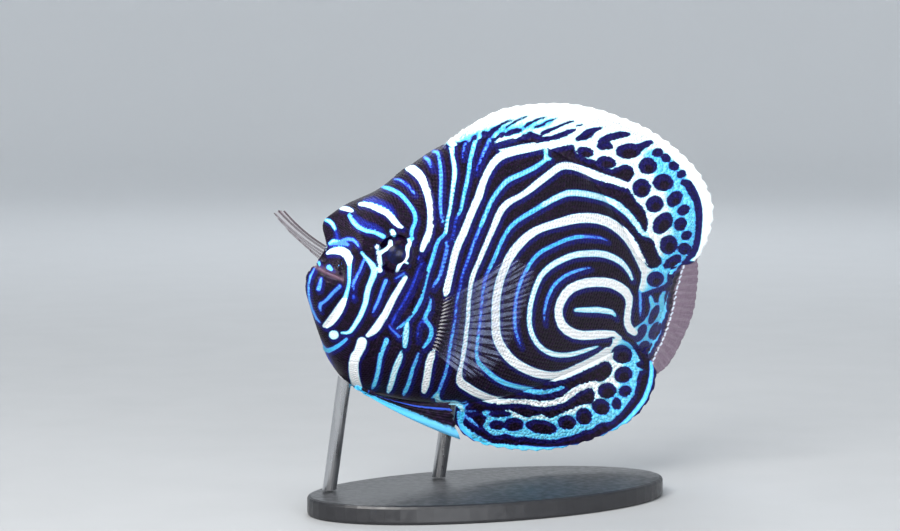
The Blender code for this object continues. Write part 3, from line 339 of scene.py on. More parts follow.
        (515.8, 298, 1.9), (514.8, 306, 2), (514.3, 314, 2.1), (514.3, 322, 2.1), (515, 329, 2),
        (516.8, 336, 1.8), (519, 342, 1.4), (521, 346, 0.8))),
    "ring_7": (0.9, ((632, 279, 1.3), (629, 272, 2), (625, 266, 2.4), (620, 261, 2.9), (613, 257, 3.2),
        (605, 254, 3.4), (596, 252.8, 3.4), (587, 253, 3.3), (578, 253.6, 3.2), (570, 255.5, 3.1),
        (562, 259, 3.1), (555, 262.5, 3), (549, 266.5, 2.9), (544, 271, 2.8), (540, 276, 2.7),
        (537, 282, 2.6), (534.5, 288, 2.6), (532.3, 295, 2.5), (530.5, 302, 2.5), (529.3, 310, 2.5),
        (528.8, 318, 2.5), (529.2, 325, 2.5), (530.8, 332, 2.5), (533.5, 338, 2.5), (537, 343.5, 2.5),
        (541.5, 348, 2.5), (547, 351.5, 2.5), (553, 353.8, 2.6), (560, 354.8, 2.5), (567, 354.5, 2.4),
        (574, 353.3, 2.3), (581, 351.3, 2.1), (588, 349, 1.8), (594, 347, 1.3), (598, 345.8, 0.7))),
    "ring_8": (0.5, ((590, 267, 0.8), (583, 268.3, 1.4), (576, 270.3, 1.7), (569, 273, 1.8),
        (562, 277, 1.9), (556, 282, 1.9), (552, 287, 1.9), (549, 293, 1.8), (546.5, 299, 1.7),
        (545, 305, 1.6), (544, 311, 1.5), (543.8, 317, 1.2), (544.5, 323, 0.6))),
    "loop": (1, ((620, 337.5, 1.6), (613, 333, 2.6), (606, 333.8, 4), (598, 334, 4.3), (590, 334.8, 4.4),
        (582, 335, 4.6), (574, 333.5, 4.8), (567, 330, 4.8), (561.5, 324.5, 4.6), (558.5, 317, 4.1),
        (558, 309, 4), (560.5, 301, 4.3), (564.5, 294, 4.5), (570.5, 288, 4.6), (578, 284.5, 4.7),
        (586, 282.3, 4.7), (595, 281.5, 4.7), (604, 281.7, 4.7), (612, 283.2, 4.7), (619, 286.5, 4.7),
        (625, 291, 4.6), (628.5, 297, 4), (628.7, 304, 3.3), (627.5, 311, 3.3), (626.7, 318, 3.4),
        (627.3, 324, 3.6), (630, 329, 3.8), (634, 332, 3.4))),
    "core": (0.85, ((575, 309.5, 1.9), (580, 309.4, 2.3), (588, 309.4, 2.8), (597, 309.2, 3),
        (606, 310.5, 2.8), (611, 311.5, 2.5), (614, 314, 1.6), (615.5, 317, 0.8))),
    "stalk_line": (0.5, ((639.5, 291, 1.4), (640, 298, 1.6), (640, 306, 1.6), (640, 312, 1.3),
        (639.8, 316, 0.5))),
    "anal_front": (0.75, ((438.3, 391, 1.6), (436, 395.5, 2.6), (437.5, 400.5, 2.8), (442, 403, 2.4),
        (449, 402.3, 2.2), (455, 402.3, 2.2), (460, 404.8, 2.5), (461.3, 410, 2.2))),
    "anal_edge_0": (0.55, ((461.3, 410, 2.2), (460.5, 416, 2.4), (459.3, 421.5, 2.6), (461, 427, 2.3),
        (465.5, 432, 2), (471.5, 436, 2.2), (478, 439.8, 2.4), (484, 443.5, 2.1), (489, 447, 1.1))),
    "anal_tick": (0.6, ((431.5, 397.5, 1), (435.5, 394.5, 2))),
    "anal_tick_2": (0.5, ((461.5, 404.5, 1.8), (465.5, 401.5, 1.2))),
    "anal_tick_3": (0.55, ((462, 409.3, 1.2), (468, 409.3, 1.3), (474, 409.3, 1))),
    "anal_streak": (0.5, ((463, 413.5, 1.2), (467, 417, 1.7), (471, 420, 1.8), (474.5, 423, 1.4),
        (477.5, 425.5, 0.6))),
    "belly_tick": (0.38, ((442, 410, 0.9), (445, 412.5, 1.2), (448, 415, 0.9))),
    "anal_margin": (0.6, ((650, 361, 1.6), (650.6, 367, 2), (650.3, 375, 2.2), (648.9, 383, 2.3),
        (646.3, 391, 2.3), (643.6, 397.6, 2.4), (639.6, 403.6, 2.3), (634.6, 409.8, 2.2),
        (629.6, 415.8, 2.2), (623.6, 421.8, 2.2), (616.5, 427.7, 2.2), (608.4, 432.7, 2.2), (600, 437, 2.1),
        (594, 440.4, 2), (585, 443.3, 2), (575, 445.3, 2), (565, 447.2, 2.4), (556, 448.5, 2.8),
        (546, 449, 2.8), (536, 448.5, 2.8), (526, 447.5, 3), (516, 446.8, 3.2), (508, 446, 3.2),
        (501, 445.3, 2.8), (493, 444.5, 2.4), (486, 441.5, 2.3), (477, 436.5, 2.3), (469, 431.5, 2.2),
        (462.5, 426, 2), (458, 419, 1.8), (457, 411, 1.8))),
    "iris_0": (0.98, ((389.6, 241, 2.3), (389.6, 244.5, 2.4), (387.2, 247.4, 2), (383.5, 249.6, 1.8),
        (379.8, 251.8, 2.4))),
    "iris_1": (0.98, ((378, 251.5, 2.4), (378.6, 256, 2.3), (379.2, 261.5, 2.3), (380, 265.5, 2))),
    "iris_dot_0": (0.98, ((376.9, 246.3, 2.5), (377.3, 246.6, 2.5))),
    "iris_dot_1": (0.98, ((378.9, 269.3, 2.8), (379.4, 269.6, 2.8))),
    "iris_2": (0.95, ((408.2, 239, 1.6), (409.6, 242.5, 2.2), (407.2, 246, 2.3), (406.6, 251, 2.1),
        (406.4, 255.5, 1.9), (404.6, 259.3, 1.8), (400.6, 262, 1.8), (398, 266, 2), (396.2, 270.5, 1.5))),
    "iris_3": (0.9, ((403.5, 260.5, 1.5), (407, 262.6, 1))),
    "brow_dot": (0.9, ((391.8, 230.8, 2.6), (393.4, 233.6, 2.6))),
    "under_eye": (0.35, ((395, 278, 1.2), (400, 275, 1.5), (404, 272.5, 1.3))),
}
LIGHT = {
    "dorsal": ((444, 144), (450, 141.5), (458, 139.2), (466, 137.2), (472, 134), (479, 129.8), (484, 130),
        (490, 133), (493, 141), (497, 149), (504, 153.5), (522, 148.5), (542, 144), (562, 141.5),
        (572, 141), (573, 151), (577, 154), (584, 157.5), (592, 158.5), (597, 162), (603, 166),
        (610, 168.5), (616, 166), (621, 163.5), (628, 164), (632, 168), (633, 173), (630, 178),
        (626, 181.5), (624, 184), (629, 191), (634, 199), (640, 205), (644, 211), (646, 218), (646, 226),
        (645, 231), (648, 236), (652, 240), (654, 246), (656, 252), (660, 257), (660, 262), (656, 266),
        (651, 268), (647, 266), (644, 268), (641, 273), (640.5, 281), (639, 286), (638, 290), (643, 292),
        (652, 288.5), (659, 286.5), (664, 284), (667, 281), (667, 274), (670, 270), (676, 266), (682, 262),
        (690, 260), (706, 262), (716, 225), (716, 190), (705, 160), (680, 131), (640, 112), (600, 100),
        (560, 96), (530, 97), (497, 104), (470, 119), (450, 133), (440, 141)),
    "stalk": ((634, 336), (632, 330), (637, 325), (643, 321), (648, 314), (650, 306), (648, 297),
        (650, 294), (652, 296), (654, 302), (658, 302), (659, 296), (662, 291), (666, 290), (664, 296),
        (664, 303), (665, 310), (663, 316), (660, 322), (660, 330), (657, 337), (653, 343), (650, 349),
        (646, 353), (645, 350), (648, 345), (641, 348), (636, 343)),
    "anal": ((603, 353), (609, 347), (612, 342), (612, 337.5), (617, 337.5), (622, 339), (628, 342),
        (632, 346), (634, 351), (637, 356), (639, 360), (634, 362), (636, 366), (642, 368.5), (638, 370),
        (636, 376), (635, 382), (634, 388), (633, 393), (629, 399), (625, 404), (621, 409), (618, 413),
        (614, 415), (612, 419), (607, 421), (600, 421), (595, 424), (590, 428), (583, 429), (577, 432),
        (570, 434.5), (562, 436), (556, 438), (548, 438.5), (540, 438), (530, 437), (523, 435), (516, 436),
        (510, 434), (503, 432), (498, 434), (492, 434), (486, 430), (481, 425), (484, 420), (486, 416),
        (481, 413), (480, 410), (485, 408.5), (492, 409.5), (500, 409.5), (508, 408), (514, 411),
        (520, 414.5), (526, 416), (533, 414.5), (540, 413), (545, 415.5), (550, 417), (556, 414.5),
        (561, 411.5), (566, 409.5), (571, 407.5), (577, 404.5), (583, 403.5), (590, 402.5), (593, 398),
        (593.5, 392), (591, 388), (590, 382.5), (596, 381), (604, 379), (609.5, 373), (611, 366),
        (607, 360.5), (600, 358.5)),
}
DARK = (
    ((494, 146, 3), (500, 144.5, 3.8), (510, 142, 4), (520, 138.8, 4.8), (528, 136.3, 6), (534, 137, 4.2),
     (540, 138, 2.3), (550, 137.4, 2.6), (558, 134.6, 3), (565, 131.8, 2.6), (571, 129.5, 1.6),
     (574, 128.5, 0.8)),
    ((492, 140, 1.8), (496, 135.5, 2.6), (500, 132.5, 2), (501.5, 131.5, 1)),
    ((486, 133, 2), (490, 130, 2.2), (495, 127, 1.8), (500, 123.5, 1.3), (506, 120.5, 1),
     (511, 118.5, 0.7)),
    ((503, 133, 1.6), (508, 131, 2.2), (514, 129.5, 2.2), (519, 129, 1.4)),
    ((503, 127, 0.8), (509, 123.5, 1.1), (516, 119.5, 1), (522, 116.5, 0.8), (526, 115, 0.5)),
    ((523, 126, 1.3), (527, 123, 1.8), (532, 120.5, 1.2), (538, 118, 1), (544, 116, 0.6)),
    ((533, 126.5, 1), (537, 125.5, 1.3), (541, 124, 1), (545, 121, 1), (550, 118.8, 0.9),
     (555, 117.3, 0.5)),
    ((540, 132.5, 1.6), (546, 130, 1.9), (552, 127.8, 1.8), (558, 125, 1.6), (564, 122.5, 1.3),
     (570, 120.8, 0.9), (573, 120, 0.5)),
    ((575, 125, 0.8), (580, 124, 0.9), (583, 123.5, 0.5)),
    ((576, 138, 2.2), (582, 135.5, 4), (587, 132.5, 4.5), (592, 129.5, 3), (598, 127.3, 1.3),
     (601, 126.5, 0.6)),
    ((598, 145, 3), (600, 140, 3.2), (605, 137.5, 3.5), (612, 135.3, 3.8), (619, 133.8, 3.4),
     (625, 133.3, 2.4), (628, 133.5, 1.3)),
    ((600, 145, 4), (606, 144.5, 4), (609, 146, 2.6)),
    ((636, 148, 5), (641, 145, 3.5), (646, 142.5, 3), (650, 141, 2)),
    ((549, 154, 2), (553, 150, 3.5), (560, 148, 4.2), (566, 147.5, 3.8), (570, 148.5, 2)),
    ((682, 181.5, 3.2), (687, 183, 4.2), (689.5, 188, 5), (693, 194, 4.6), (695.8, 200, 4), (697.4, 208, 4),
     (697.9, 216, 3.8), (697.6, 224, 3.6), (697, 232, 3.5), (696, 240, 3.5), (694.3, 247, 3.6),
     (691.5, 253, 3.5), (687, 257.5, 2.7), (682, 261.5, 1.8)),
    ((498, 424, 3), (505, 425, 2.2), (510, 424, 3)),
)
CELLS = ((583.5, 151, 7.8, 4.6, 10), (605, 161, 9, 5.3, 15), (627, 150, 12, 7.3, -5),
         (656, 151.5, 5, 3.8, -10), (664.5, 157, 4.4, 3.6, 20), (672.3, 165, 4.9, 4, 30),
         (680, 173, 4.5, 3.2, -30), (646, 165, 8.5, 7.8, 0), (661.5, 181.5, 9.5, 8, 0),
         (640, 187, 8.5, 9, 0), (653, 203, 8.3, 7.8, -30), (673, 197.8, 8.3, 6, -45),
         (682, 208.8, 6, 4.5, -30), (661, 222, 11.5, 8, -50), (679, 223, 6.3, 5.6, -50),
         (685, 234.2, 5, 3.9, -30), (667, 243.5, 8.3, 9, 20), (683, 247.5, 5.8, 5.3, 0),
         (671, 260.5, 9.5, 4.8, -35), (655, 278.5, 8, 7, -15), (653.5, 314, 9.5, 3.5, -65),
         (654, 330, 8.5, 4, -62), (640.5, 332.5, 8.8, 4.2, -62), (644, 345, 5, 3.8, -30),
         (620.5, 353.5, 9.2, 8.4, 0), (621.5, 373.5, 8.6, 7.4, -20), (605.5, 389.5, 8.6, 7.4, 0),
         (623.5, 390, 5.8, 5, -20), (599.5, 405.5, 8.3, 7.5, 25), (615, 402.5, 4.2, 5.3, 0),
         (582.5, 415, 7.2, 8, -20), (565.5, 421, 8.5, 6.5, 0), (540, 425.5, 15, 6.5, 10),
         (512.5, 423, 9, 6.3, 0), (495.5, 423.5, 7, 4.2, 0), (498.5, 412.5, 10.5, 3, 0))
# Where the light net turns from white to cyan, and the dotted edge of the dark root of the tail fin
CYAN_ZONES = (
    ((648, 154, 3), (660, 165, 8), (675, 185, 10), (683, 210, 11), (684, 235, 11),
     (676, 255, 11), (664, 272, 9), (655, 300, 12), (648, 340, 10)),
    ((626, 345, 5), (632, 370, 6), (624, 400, 9), (603, 413, 10), (580, 424, 11), (550, 430, 10),
     (515, 430, 10), (486, 420, 10)),
    ((462, 139, 1), (490, 130, 1), (520, 127, 1), (548, 122, 0)),
)
TAIL_BORDER = ((684, 261), (680.5, 270), (677.8, 280), (674.8, 290), (673, 300), (671, 310), (668, 320),
               (664.8, 330), (661, 340), (656.8, 348), (653.5, 355), (651, 363))
TAIL_DOTS = 21
TAIL_DOT = ((-0.5, 1.4, 0.7), (0.8, -1.2, 0.95))     # one dot's ends off its place, and half widths
NET_WHITE, NET_CYAN = 0.97, 0.61        # tones of the light nets
CYAN_REACH = (7, -1)         # how far off a cyan zone's line the net is white, and how near it is cyan
NET_REAR_X, HEAD_X = (590, 650), (425, 385)    # columns between which the nets' rear and the head begin
NET_FRONT, HEAD_LESS = 0.3, 0.3         # share of the nets' blue in front, and what the head has less
UNDER_SHIFT, UNDER_NETTED = (1.2, 2.4), 2.6    # the blue lies this far below a line, and wider in a net
CELL_GROW = 0.7              # how much larger the net's dark cells are than picked
FAR = 14.0                   # distances are known up to this many pixels
FIELD_BOX, FIELD_STEP = (290.0, 85.0, 730.0, 465.0), 0.25


def smooth_curve(points, t):
    """Catmull-Rom curve through points, with t counted in points."""
    p = np.asarray(points, float)
    p = np.vstack([2 * p[0] - p[1], p, 2 * p[-1] - p[-2]])
    t = np.clip(np.asarray(t, float), 0, len(p) - 3)
    k = np.minimum(t.astype(int), len(p) - 4)
    f = (t - k)[..., None]
    a, b, c, d = p[k], p[k + 1], p[k + 2], p[k + 3]
    return 0.5 * (2 * b + (c - a) * f + (2 * a - 5 * b + 4 * c - d) * f**2 + (3 * b - a - 3 * c + d) * f**3)


def unit(vector):
    return vector / np.maximum(np.linalg.norm(vector, axis=-1, keepdims=True), 1e-9)


def arc_lengths(path):
    """Arc length from a path's first point to each."""
    return np.concatenate([[0], np.cumsum(np.linalg.norm(np.diff(path, axis=0), axis=1))])


def even_points(points, count):
    dense = smooth_curve(points, np.linspace(0, len(points) - 1, 600))
    run = arc_lengths(dense)
    want = np.linspace(0, run[-1], count)
    return np.stack([np.interp(want, run, dense[:, k]) for k in range(dense.shape[1])], axis=1)


def smooth_step(low, high, value):
    t = np.clip((value - low) / (high - low), 0, 1)
    return t * t * (3 - 2 * t)


class Midline:
    """Plan of the fish's midline, integrated from its heading."""

    def __init__(self):
        self.s = np.linspace(-0.1, 1.5, 1601) * LENGTH
        knots = np.array(HEADING)
        raw = np.interp(self.s / LENGTH, knots[:, 0], knots[:, 1])
        window = np.hanning(121)
        padded = np.concatenate([np.full(60, raw[0]), raw, np.full(60, raw[-1])])
        self.heading = np.radians(np.convolve(padded, window / window.sum(), "valid"))
        step = self.s[1] - self.s[0]
        self.x = np.concatenate([[0], np.cumsum(np.cos(self.heading[:-1]) * step)])
        self.y = np.concatenate([[0], np.cumsum(np.sin(self.heading[:-1]) * step)])
        middle = np.argmin(abs(self.s - LENGTH / 2))
        self.x -= self.x[middle]
        self.y -= self.y[middle]

    def at(self, s):
        return (np.interp(s, self.s, self.x), np.interp(s, self.s, self.y),
                np.interp(s, self.s, self.heading))


MIDLINE = Midline()


def bend(s, y, v):
    x0, y0, a = MIDLINE.at(s)
    return np.stack(np.broadcast_arrays(x0 - np.sin(a) * y, y0 + np.cos(a) * y, v), axis=-1)


def along_tangent(root_s, s, y, v):
    x0, y0, a = MIDLINE.at(root_s)
    run = s - root_s
    return np.stack(np.broadcast_arrays(x0 + np.cos(a) * run - np.sin(a) * y,
                                        y0 + np.sin(a) * run + np.cos(a) * y, v), axis=-1)


def side_axis(s):
    """The fish's right at s, before it is tilted."""
    heading = MIDLINE.at(s)[2]
    return np.stack([-np.sin(heading), np.cos(heading), 0 * heading], axis=-1)


TILT = np.array(Euler((math.radians(BACK_LEAN), math.radians(NOSE_UP), 0)).to_matrix())


def to_world(points):
    return np.asarray(points) @ TILT.T + POSE


def camera_axes():
    a, e = math.radians(CAM_AZIMUTH), math.radians(CAM_ELEVATION)
    back = np.array([math.sin(a) * math.cos(e), -math.cos(a) * math.cos(e), math.sin(e)])
    right = unit(np.cross([0, 0, 1], back))
    return right, np.cross(back, right), back


def camera_place():
    right, up, back = camera_axes()
    dx = (POSE_PX[0] - PHOTO_W / 2) / CAM_FOCAL * CAM_DISTANCE
    dy = -(POSE_PX[1] - PHOTO_H / 2) / CAM_FOCAL * CAM_DISTANCE
    return POSE + back * CAM_DISTANCE - right * dx - up * dy


def to_pixel(world):
    """Where a place in world millimetres lies in the photograph."""
    right, up, back = camera_axes()
    seen = np.asarray(world) - camera_place()
    depth = -(seen @ back)
    return np.stack([PHOTO_W / 2 + CAM_FOCAL * (seen @ right) / depth,
                     PHOTO_H / 2 - CAM_FOCAL * (seen @ up) / depth], axis=-1)


def left_twin_pixel(s, y, v):
    """The pixel of the same place on the left flank."""
    return to_pixel(to_world(bend(s, -abs(y), v)))


def mouth_height(s):
    return MOUTH_FRONT_V + (MOUTH_CORNER[1] - MOUTH_FRONT_V) * s / MOUTH_CORNER[0]


def with_lips(s, y, v):
    off = abs(v - mouth_height(s) - GAP / 2)
    fade = np.clip((MOUTH_CORNER[0] + LIP_PAST - s) / LIP_FADE, 0, 1)
    rise = LIP_RISE * np.exp(-((off - LIP_OFF) / LIP_HALF) ** 2) * fade
    turn = np.arctan2(abs(y), MOUTH_CORNER[0] - s)
    return s - rise * np.cos(turn), y + np.sign(y) * rise * np.sin(turn), v


def ring_points(u, turn):
    """Flat s, y, v of the body's surface at ring u (0 is the tip of the lips) and turn round it."""
    u, turn = np.broadcast_arrays(np.asarray(u, float), np.asarray(turn, float))
    dome = np.clip(u, 0, 1) * math.pi / 2
    row = smooth_curve(STATIONS, np.maximum(u - 1, 0))
    top, bottom, wide, full, heavy = row[..., 0:2], row[..., 2:4], row[..., 4], row[..., 5], row[..., 6]
    centre, half = (top + bottom) / 2, (top - bottom) / 2
    cosine, sine = np.cos(turn), np.sin(turn)
    lift = np.sign(cosine) * abs(cosine) ** (2 / full)
    side = np.sign(sine) * abs(sine) ** (2 / full) * np.sin(dome) * (1 + heavy * lift)
    flat = centre + half * (lift * np.sin(dome))[..., None]
    s = flat[..., 0] - LIP_DEPTH * np.cos(dome)
    hollow = CHEEK_HOLLOW * np.exp(-((u - HOLLOW_RING) / HOLLOW_LONG) ** 2 -
                                   ((flat[..., 1] - HOLLOW_V) / HOLLOW_HIGH) ** 2)
    swell = SWELL * np.exp(-((u - SWELL_RING) / SWELL_LONG) ** 2 -
                           ((flat[..., 1] - SWELL_V) / SWELL_HIGH) ** 2)
    y = -side * wide + np.clip(sine * 2, -1, 1) * (hollow - swell)
    return with_lips(s, y, flat[..., 1])


def ridge_height(s, below):
    rows = smooth_curve(STATIONS, np.linspace(4, len(STATIONS) - 1, 500))
    return np.interp(s, rows[:, 2 if below else 0], rows[:, 3 if below else 1])


def gill_ring(turn):
    up = (1 + np.cos(turn)) / 2
    return GILL_SIDE + (GILL_TOP - GILL_SIDE) * up**1.5 + (GILL_BOTTOM - GILL_SIDE) * (1 - up)**4


class Field:
    """Distances in the photograph's pixels to the light marks, negative inside, and their tones."""

    def __init__(self):
        x0, y0, x1, y1 = FIELD_BOX
        self.x = np.arange(x0, x1, FIELD_STEP)
        self.y = np.arange(y0, y1, FIELD_STEP)
        dark, net = self.distance(DARK), self.blank()
        for cell in CELLS:
            dark = np.minimum(dark, self.cell(*cell))
        for corners in LIGHT.values():
            net = np.minimum(net, self.polygon(corners))
        blue = NET_FRONT + (1 - NET_FRONT) * smooth_step(*NET_REAR_X, self.x)
        self.netted = smooth_step(3, -3, net) * blue - HEAD_LESS * smooth_step(*HEAD_X, self.x)
        net = np.maximum(net, -dark)
        net_tone = NET_WHITE - (NET_WHITE - NET_CYAN) * smooth_step(*CYAN_REACH, self.distance(CYAN_ZONES))
        lines, line_tone = self.strokes(LINES.values())
        self.light = np.minimum(net, lines)
        self.tone = np.where(lines < net, line_tone, net_tone)
        self.dots = self.distance([[(x + dx, y + dy, half) for dx, dy, half in TAIL_DOT]
                                   for x, y in even_points(TAIL_BORDER, TAIL_DOTS)])

    def blank(self):
        return np.full((len(self.y), len(self.x)), FAR)

    def window(self, points, reach):
        low = np.min(points, axis=0) - reach
        high = np.max(points, axis=0) + reach
        i = [int(np.clip(np.searchsorted(self.x, q), 0, len(self.x))) for q in (low[0], high[0])]
        j = [int(np.clip(np.searchsorted(self.y, q), 0, len(self.y))) for q in (low[1], high[1])]
        return (slice(*j), slice(*i)), self.x[None, i[0]:i[1]], self.y[j[0]:j[1], None]

    def segment(self, a, b):
        """Distance to a segment whose radius runs from a's to b's, in the window round it."""
        a, b = np.array(a, float), np.array(b, float)
        where, x, y = self.window(np.array([a[:2], b[:2]]), FAR + max(a[2], b[2]))
        run = b[:2] - a[:2]
        t = np.clip(((x - a[0]) * run[0] + (y - a[1]) * run[1]) / max(run @ run, 1e-9), 0, 1)
        far = np.hypot(x - a[0] - t * run[0], y - a[1] - t * run[1])
        return where, far - (a[2] + (b[2] - a[2]) * t)

    def strokes(self, lines):
        """Distance to the nearest of some lines, and that line's tone."""
        best, tones = self.blank(), np.zeros((len(self.y), len(self.x)))
        for tone, points in lines:
            for a, b in zip(points[:-1], points[1:]):
                where, far = self.segment(a, b)
                tones[where] = np.where(far < best[where], tone, tones[where])
                best[where] = np.minimum(best[where], far)
        return best, tones

    def distance(self, lines):
        return self.strokes([(0, points) for points in lines])[0]

    def polygon(self, corners):
        edge = self.blank()
        inside = np.zeros(edge.shape, bool)
        for (ax, ay), (bx, by) in zip(corners, corners[1:] + corners[:1]):
            where, far = self.segment((ax, ay, 0), (bx, by, 0))
            edge[where] = np.minimum(edge[where], far)
            crosses = ((ay > self.y) != (by > self.y))[:, None]
            cut = ax + (self.y[:, None] - ay) * (bx - ax) / (by - ay if by != ay else 1.0)
            inside ^= crosses & (self.x[None, :] < cut)
        return np.where(inside, -edge, edge)

    def cell(self, cx, cy, rx, ry, turned):
        where, x, y = self.window(np.array([[cx, cy]], float), FAR + max(rx, ry))
        a = math.radians(turned)
        along = (x - cx) * math.cos(a) + (y - cy) * math.sin(a)
        over = (y - cy) * math.cos(a) - (x - cx) * math.sin(a)
        q = np.hypot(along / rx, over / ry)
        far = self.blank()
        far[where] = (q - 1) * math.sqrt(rx * ry) - CELL_GROW
        return far

    def look(self, grid, pixel):
        """Bilinear look-up of one of the grids."""
        fx = np.clip((pixel[..., 0] - PIXEL_SHIFT - self.x[0]) / FIELD_STEP, 0, len(self.x) - 1.001)
        fy = np.clip((pixel[..., 1] - PIXEL_SHIFT - self.y[0]) / FIELD_STEP, 0, len(self.y) - 1.001)
        i, j = fx.astype(int), fy.astype(int)
        fx, fy = fx - i, fy - j
        top = grid[j, i] * (1 - fx) + grid[j, i + 1] * fx
        low = grid[j + 1, i] * (1 - fx) + grid[j + 1, i + 1] * fx
        return top * (1 - fy) + low * fy

    def marks(self, pixel):
        """The attributes of places at these pixels: light, tone, and under, which is light's
        distance from a place a little up and left, for the blue on a line's lower side. It is less in
        the nets, where the blue is wider, and more on the head, where there is less of it."""
        under = self.look(self.light, pixel - np.array(UNDER_SHIFT))
        return {"light": self.look(self.light, pixel), "tone": self.look(self.tone, pixel),
                "under": under - UNDER_NETTED * self.look(self.netted, pixel)}


FIELD = Field()


def mesh_piece(name, points, faces, attributes, paint, uv=None):
    """A piece that rides with the fish, from points in world millimetres."""
    mesh = bpy.data.meshes.new(name)
    faces = faces.tolist() if isinstance(faces, np.ndarray) else faces
    mesh.from_pydata((np.asarray(points) * MM).tolist(), [], faces)
    for key, values in attributes.items():
        layer = mesh.attributes.new(key, "FLOAT", "POINT")
        layer.data.foreach_set("value", np.ascontiguousarray(values, np.float32).ravel())
    if uv is not None:
        layer = mesh.uv_layers.new(name="OFBake")
        corner = np.empty(len(mesh.loops), np.int32)
        mesh.loops.foreach_get("vertex_index", corner)
        layer.data.foreach_set("uv", np.ascontiguousarray(uv[corner], np.float32).ravel())
    mesh.shade_smooth()
    mesh.materials.append(paint)
    made = bpy.data.objects.new(name, mesh)
    bpy.context.scene.collection.objects.link(made)
    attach(made, "root")
    return made


def grid_faces(rows, columns, closed=False):
    """Quads of a grid of points, rows outermost."""
    last = columns if closed else columns - 1
    r, c = np.meshgrid(np.arange(rows - 1), np.arange(last), indexing="ij")
    a = r * columns + c
    b = r * columns + (c + 1) % columns
    return np.stack([a, b, b + columns, a + columns], axis=-1).reshape(-1, 4)


def grid_normals(points):
    """Unit normals of a grid of points, along rows crossed with along columns."""
    return unit(np.cross(np.gradient(points, axis=0), np.gradient(points, axis=1)))


def other_flank(s, y, v, pixel):
    """Small differences between the flanks: the right one's markings wander a little."""
    off = smooth_step(0.5, 3.0, y)[..., None]
    wander = np.stack([1.3 * np.sin(0.31 * s + 0.23 * v) + 0.8 * np.sin(0.7 * v),
                       1.5 * np.sin(0.27 * v - 0.2 * s)], axis=-1)
    return pixel + off * wander


class Body:
    """The skin as a grid of rings and columns, even in arc length."""

    def __init__(self):
        fine = np.linspace(0, len(STATIONS), 1200)
        path = np.stack(ring_points(fine[:, None], np.linspace(0.1, math.pi - 0.1, 9)[None, :]), axis=-1)
        run = np.linalg.norm(np.diff(path, axis=0), axis=-1).mean(axis=1)
        run = np.concatenate([[0], np.cumsum(run)])
        self.length = run[-1]
        rings = np.interp(np.linspace(0, self.length, SKIN_RINGS), run, fine)
        turns = np.linspace(0, math.pi, 2000)
        arc = arc_lengths(np.stack(ring_points(WIDEST_RING, turns), axis=-1))
        half = np.interp(np.linspace(0, arc[-1], HALF_TURN + 1), arc, turns)
        u, turn = np.meshgrid(rings, np.concatenate([half, 2 * math.pi - half[-2:0:-1]]), indexing="ij")
        self.s, self.y, self.v = ring_points(u, turn)
        self.bare = to_world(bend(self.s, self.y, self.v))
        wrapped = np.concatenate([self.bare[:, -1:], self.bare, self.bare[:, :1]], axis=1)
        self.normal = grid_normals(wrapped)[:, 1:-1]
        outward = to_world(bend(self.s, self.y * 1.1, self.v)) - self.bare
        self.normal = self.normal * np.sign(np.sum(self.normal * outward))
        twin = other_flank(self.s, self.y, self.v, left_twin_pixel(self.s, self.y, self.v))
        towards = camera_place() - self.bare
        facing = np.sum(self.normal * towards, axis=-1) / np.linalg.norm(towards, axis=-1)
        seen = smooth_step(-0.35, 0.0, facing)[..., None]
        self.pixel = twin + (to_pixel(self.bare) - twin) * seen
        self.points = sink_sockets(self.bare + self.normal * relief(u, turn, self.s, self.v)[..., None])


def segment_place(s, v, a, b):
    """How far along a to b (0 to 1) a flat place is, and how far off it."""
    run = np.subtract(b, a)
    t = np.clip(((s - a[0]) * run[0] + (v - a[1]) * run[1]) / (run @ run), 0, 1)
    return t, np.hypot(s - a[0] - t * run[0], v - a[1] - t * run[1])


def bump(off, half):
    return np.exp(-(off / half) ** 2)


def relief(u, turn, s, v):
    """Height of the skin over the plain body, for mouth, jaw, nostrils and gill covers."""
    height = -COAT * smooth_step(*COAT_FROM, s) - SKIN_UNDER
    groove = GROOVE + GROOVE_MORE * smooth_step(0.0, 1.2, s)
    at_mouth = smooth_step(MOUTH_CORNER[0] + 0.3, MOUTH_CORNER[0] - 0.8, s)
    height = height - groove * bump(v - mouth_height(s) - GAP / 2, GROOVE_HALF) * at_mouth
    for a, b in ((MOUTH_CORNER, JAW_HEEL), (JAW_HEEL, JAW_CHIN)):
        height = height - SEAM * bump(segment_place(s, v, a, b)[1], SEAM_HALF)
    for place in NOSTRILS:
        off = np.hypot(s - place[0], v - place[1])
        height = height - NOSTRIL * bump(off, NOSTRIL_HALF) + NOSTRIL_RIM * bump(off - RIM_OFF, RIM_HALF)
    side = smooth_step(0.15, 0.5, abs(np.sin(turn)))
    behind = (u - gill_ring(turn)) * COVER_STEP
    height = height + side * COVER * np.where(behind < 0, np.exp(np.minimum(behind, 0) / COVER_FADE), 0)
    height = height - side * COVER_SLIT * np.where(behind >= 0, bump(behind, SLIT_HALF), 0)
    cheek = (u - CHEEK_RING) * CHEEK_STEP
    low = smooth_step(3.5, 1.5, v) * smooth_step(-12.5, -9.0, v)
    height = height + low * CHEEK * np.where(cheek < 0, np.exp(np.minimum(cheek, 0) / CHEEK_FADE),
                                             bump(cheek, CHEEK_HALF))
    along, off = segment_place(s, v, SPINE_ROOT, SPINE_TIP)
    return height + SPINE_HIGH * bump(off, SPINE_HALF - SPINE_TAPER * along) * smooth_step(0, 0.3, along)


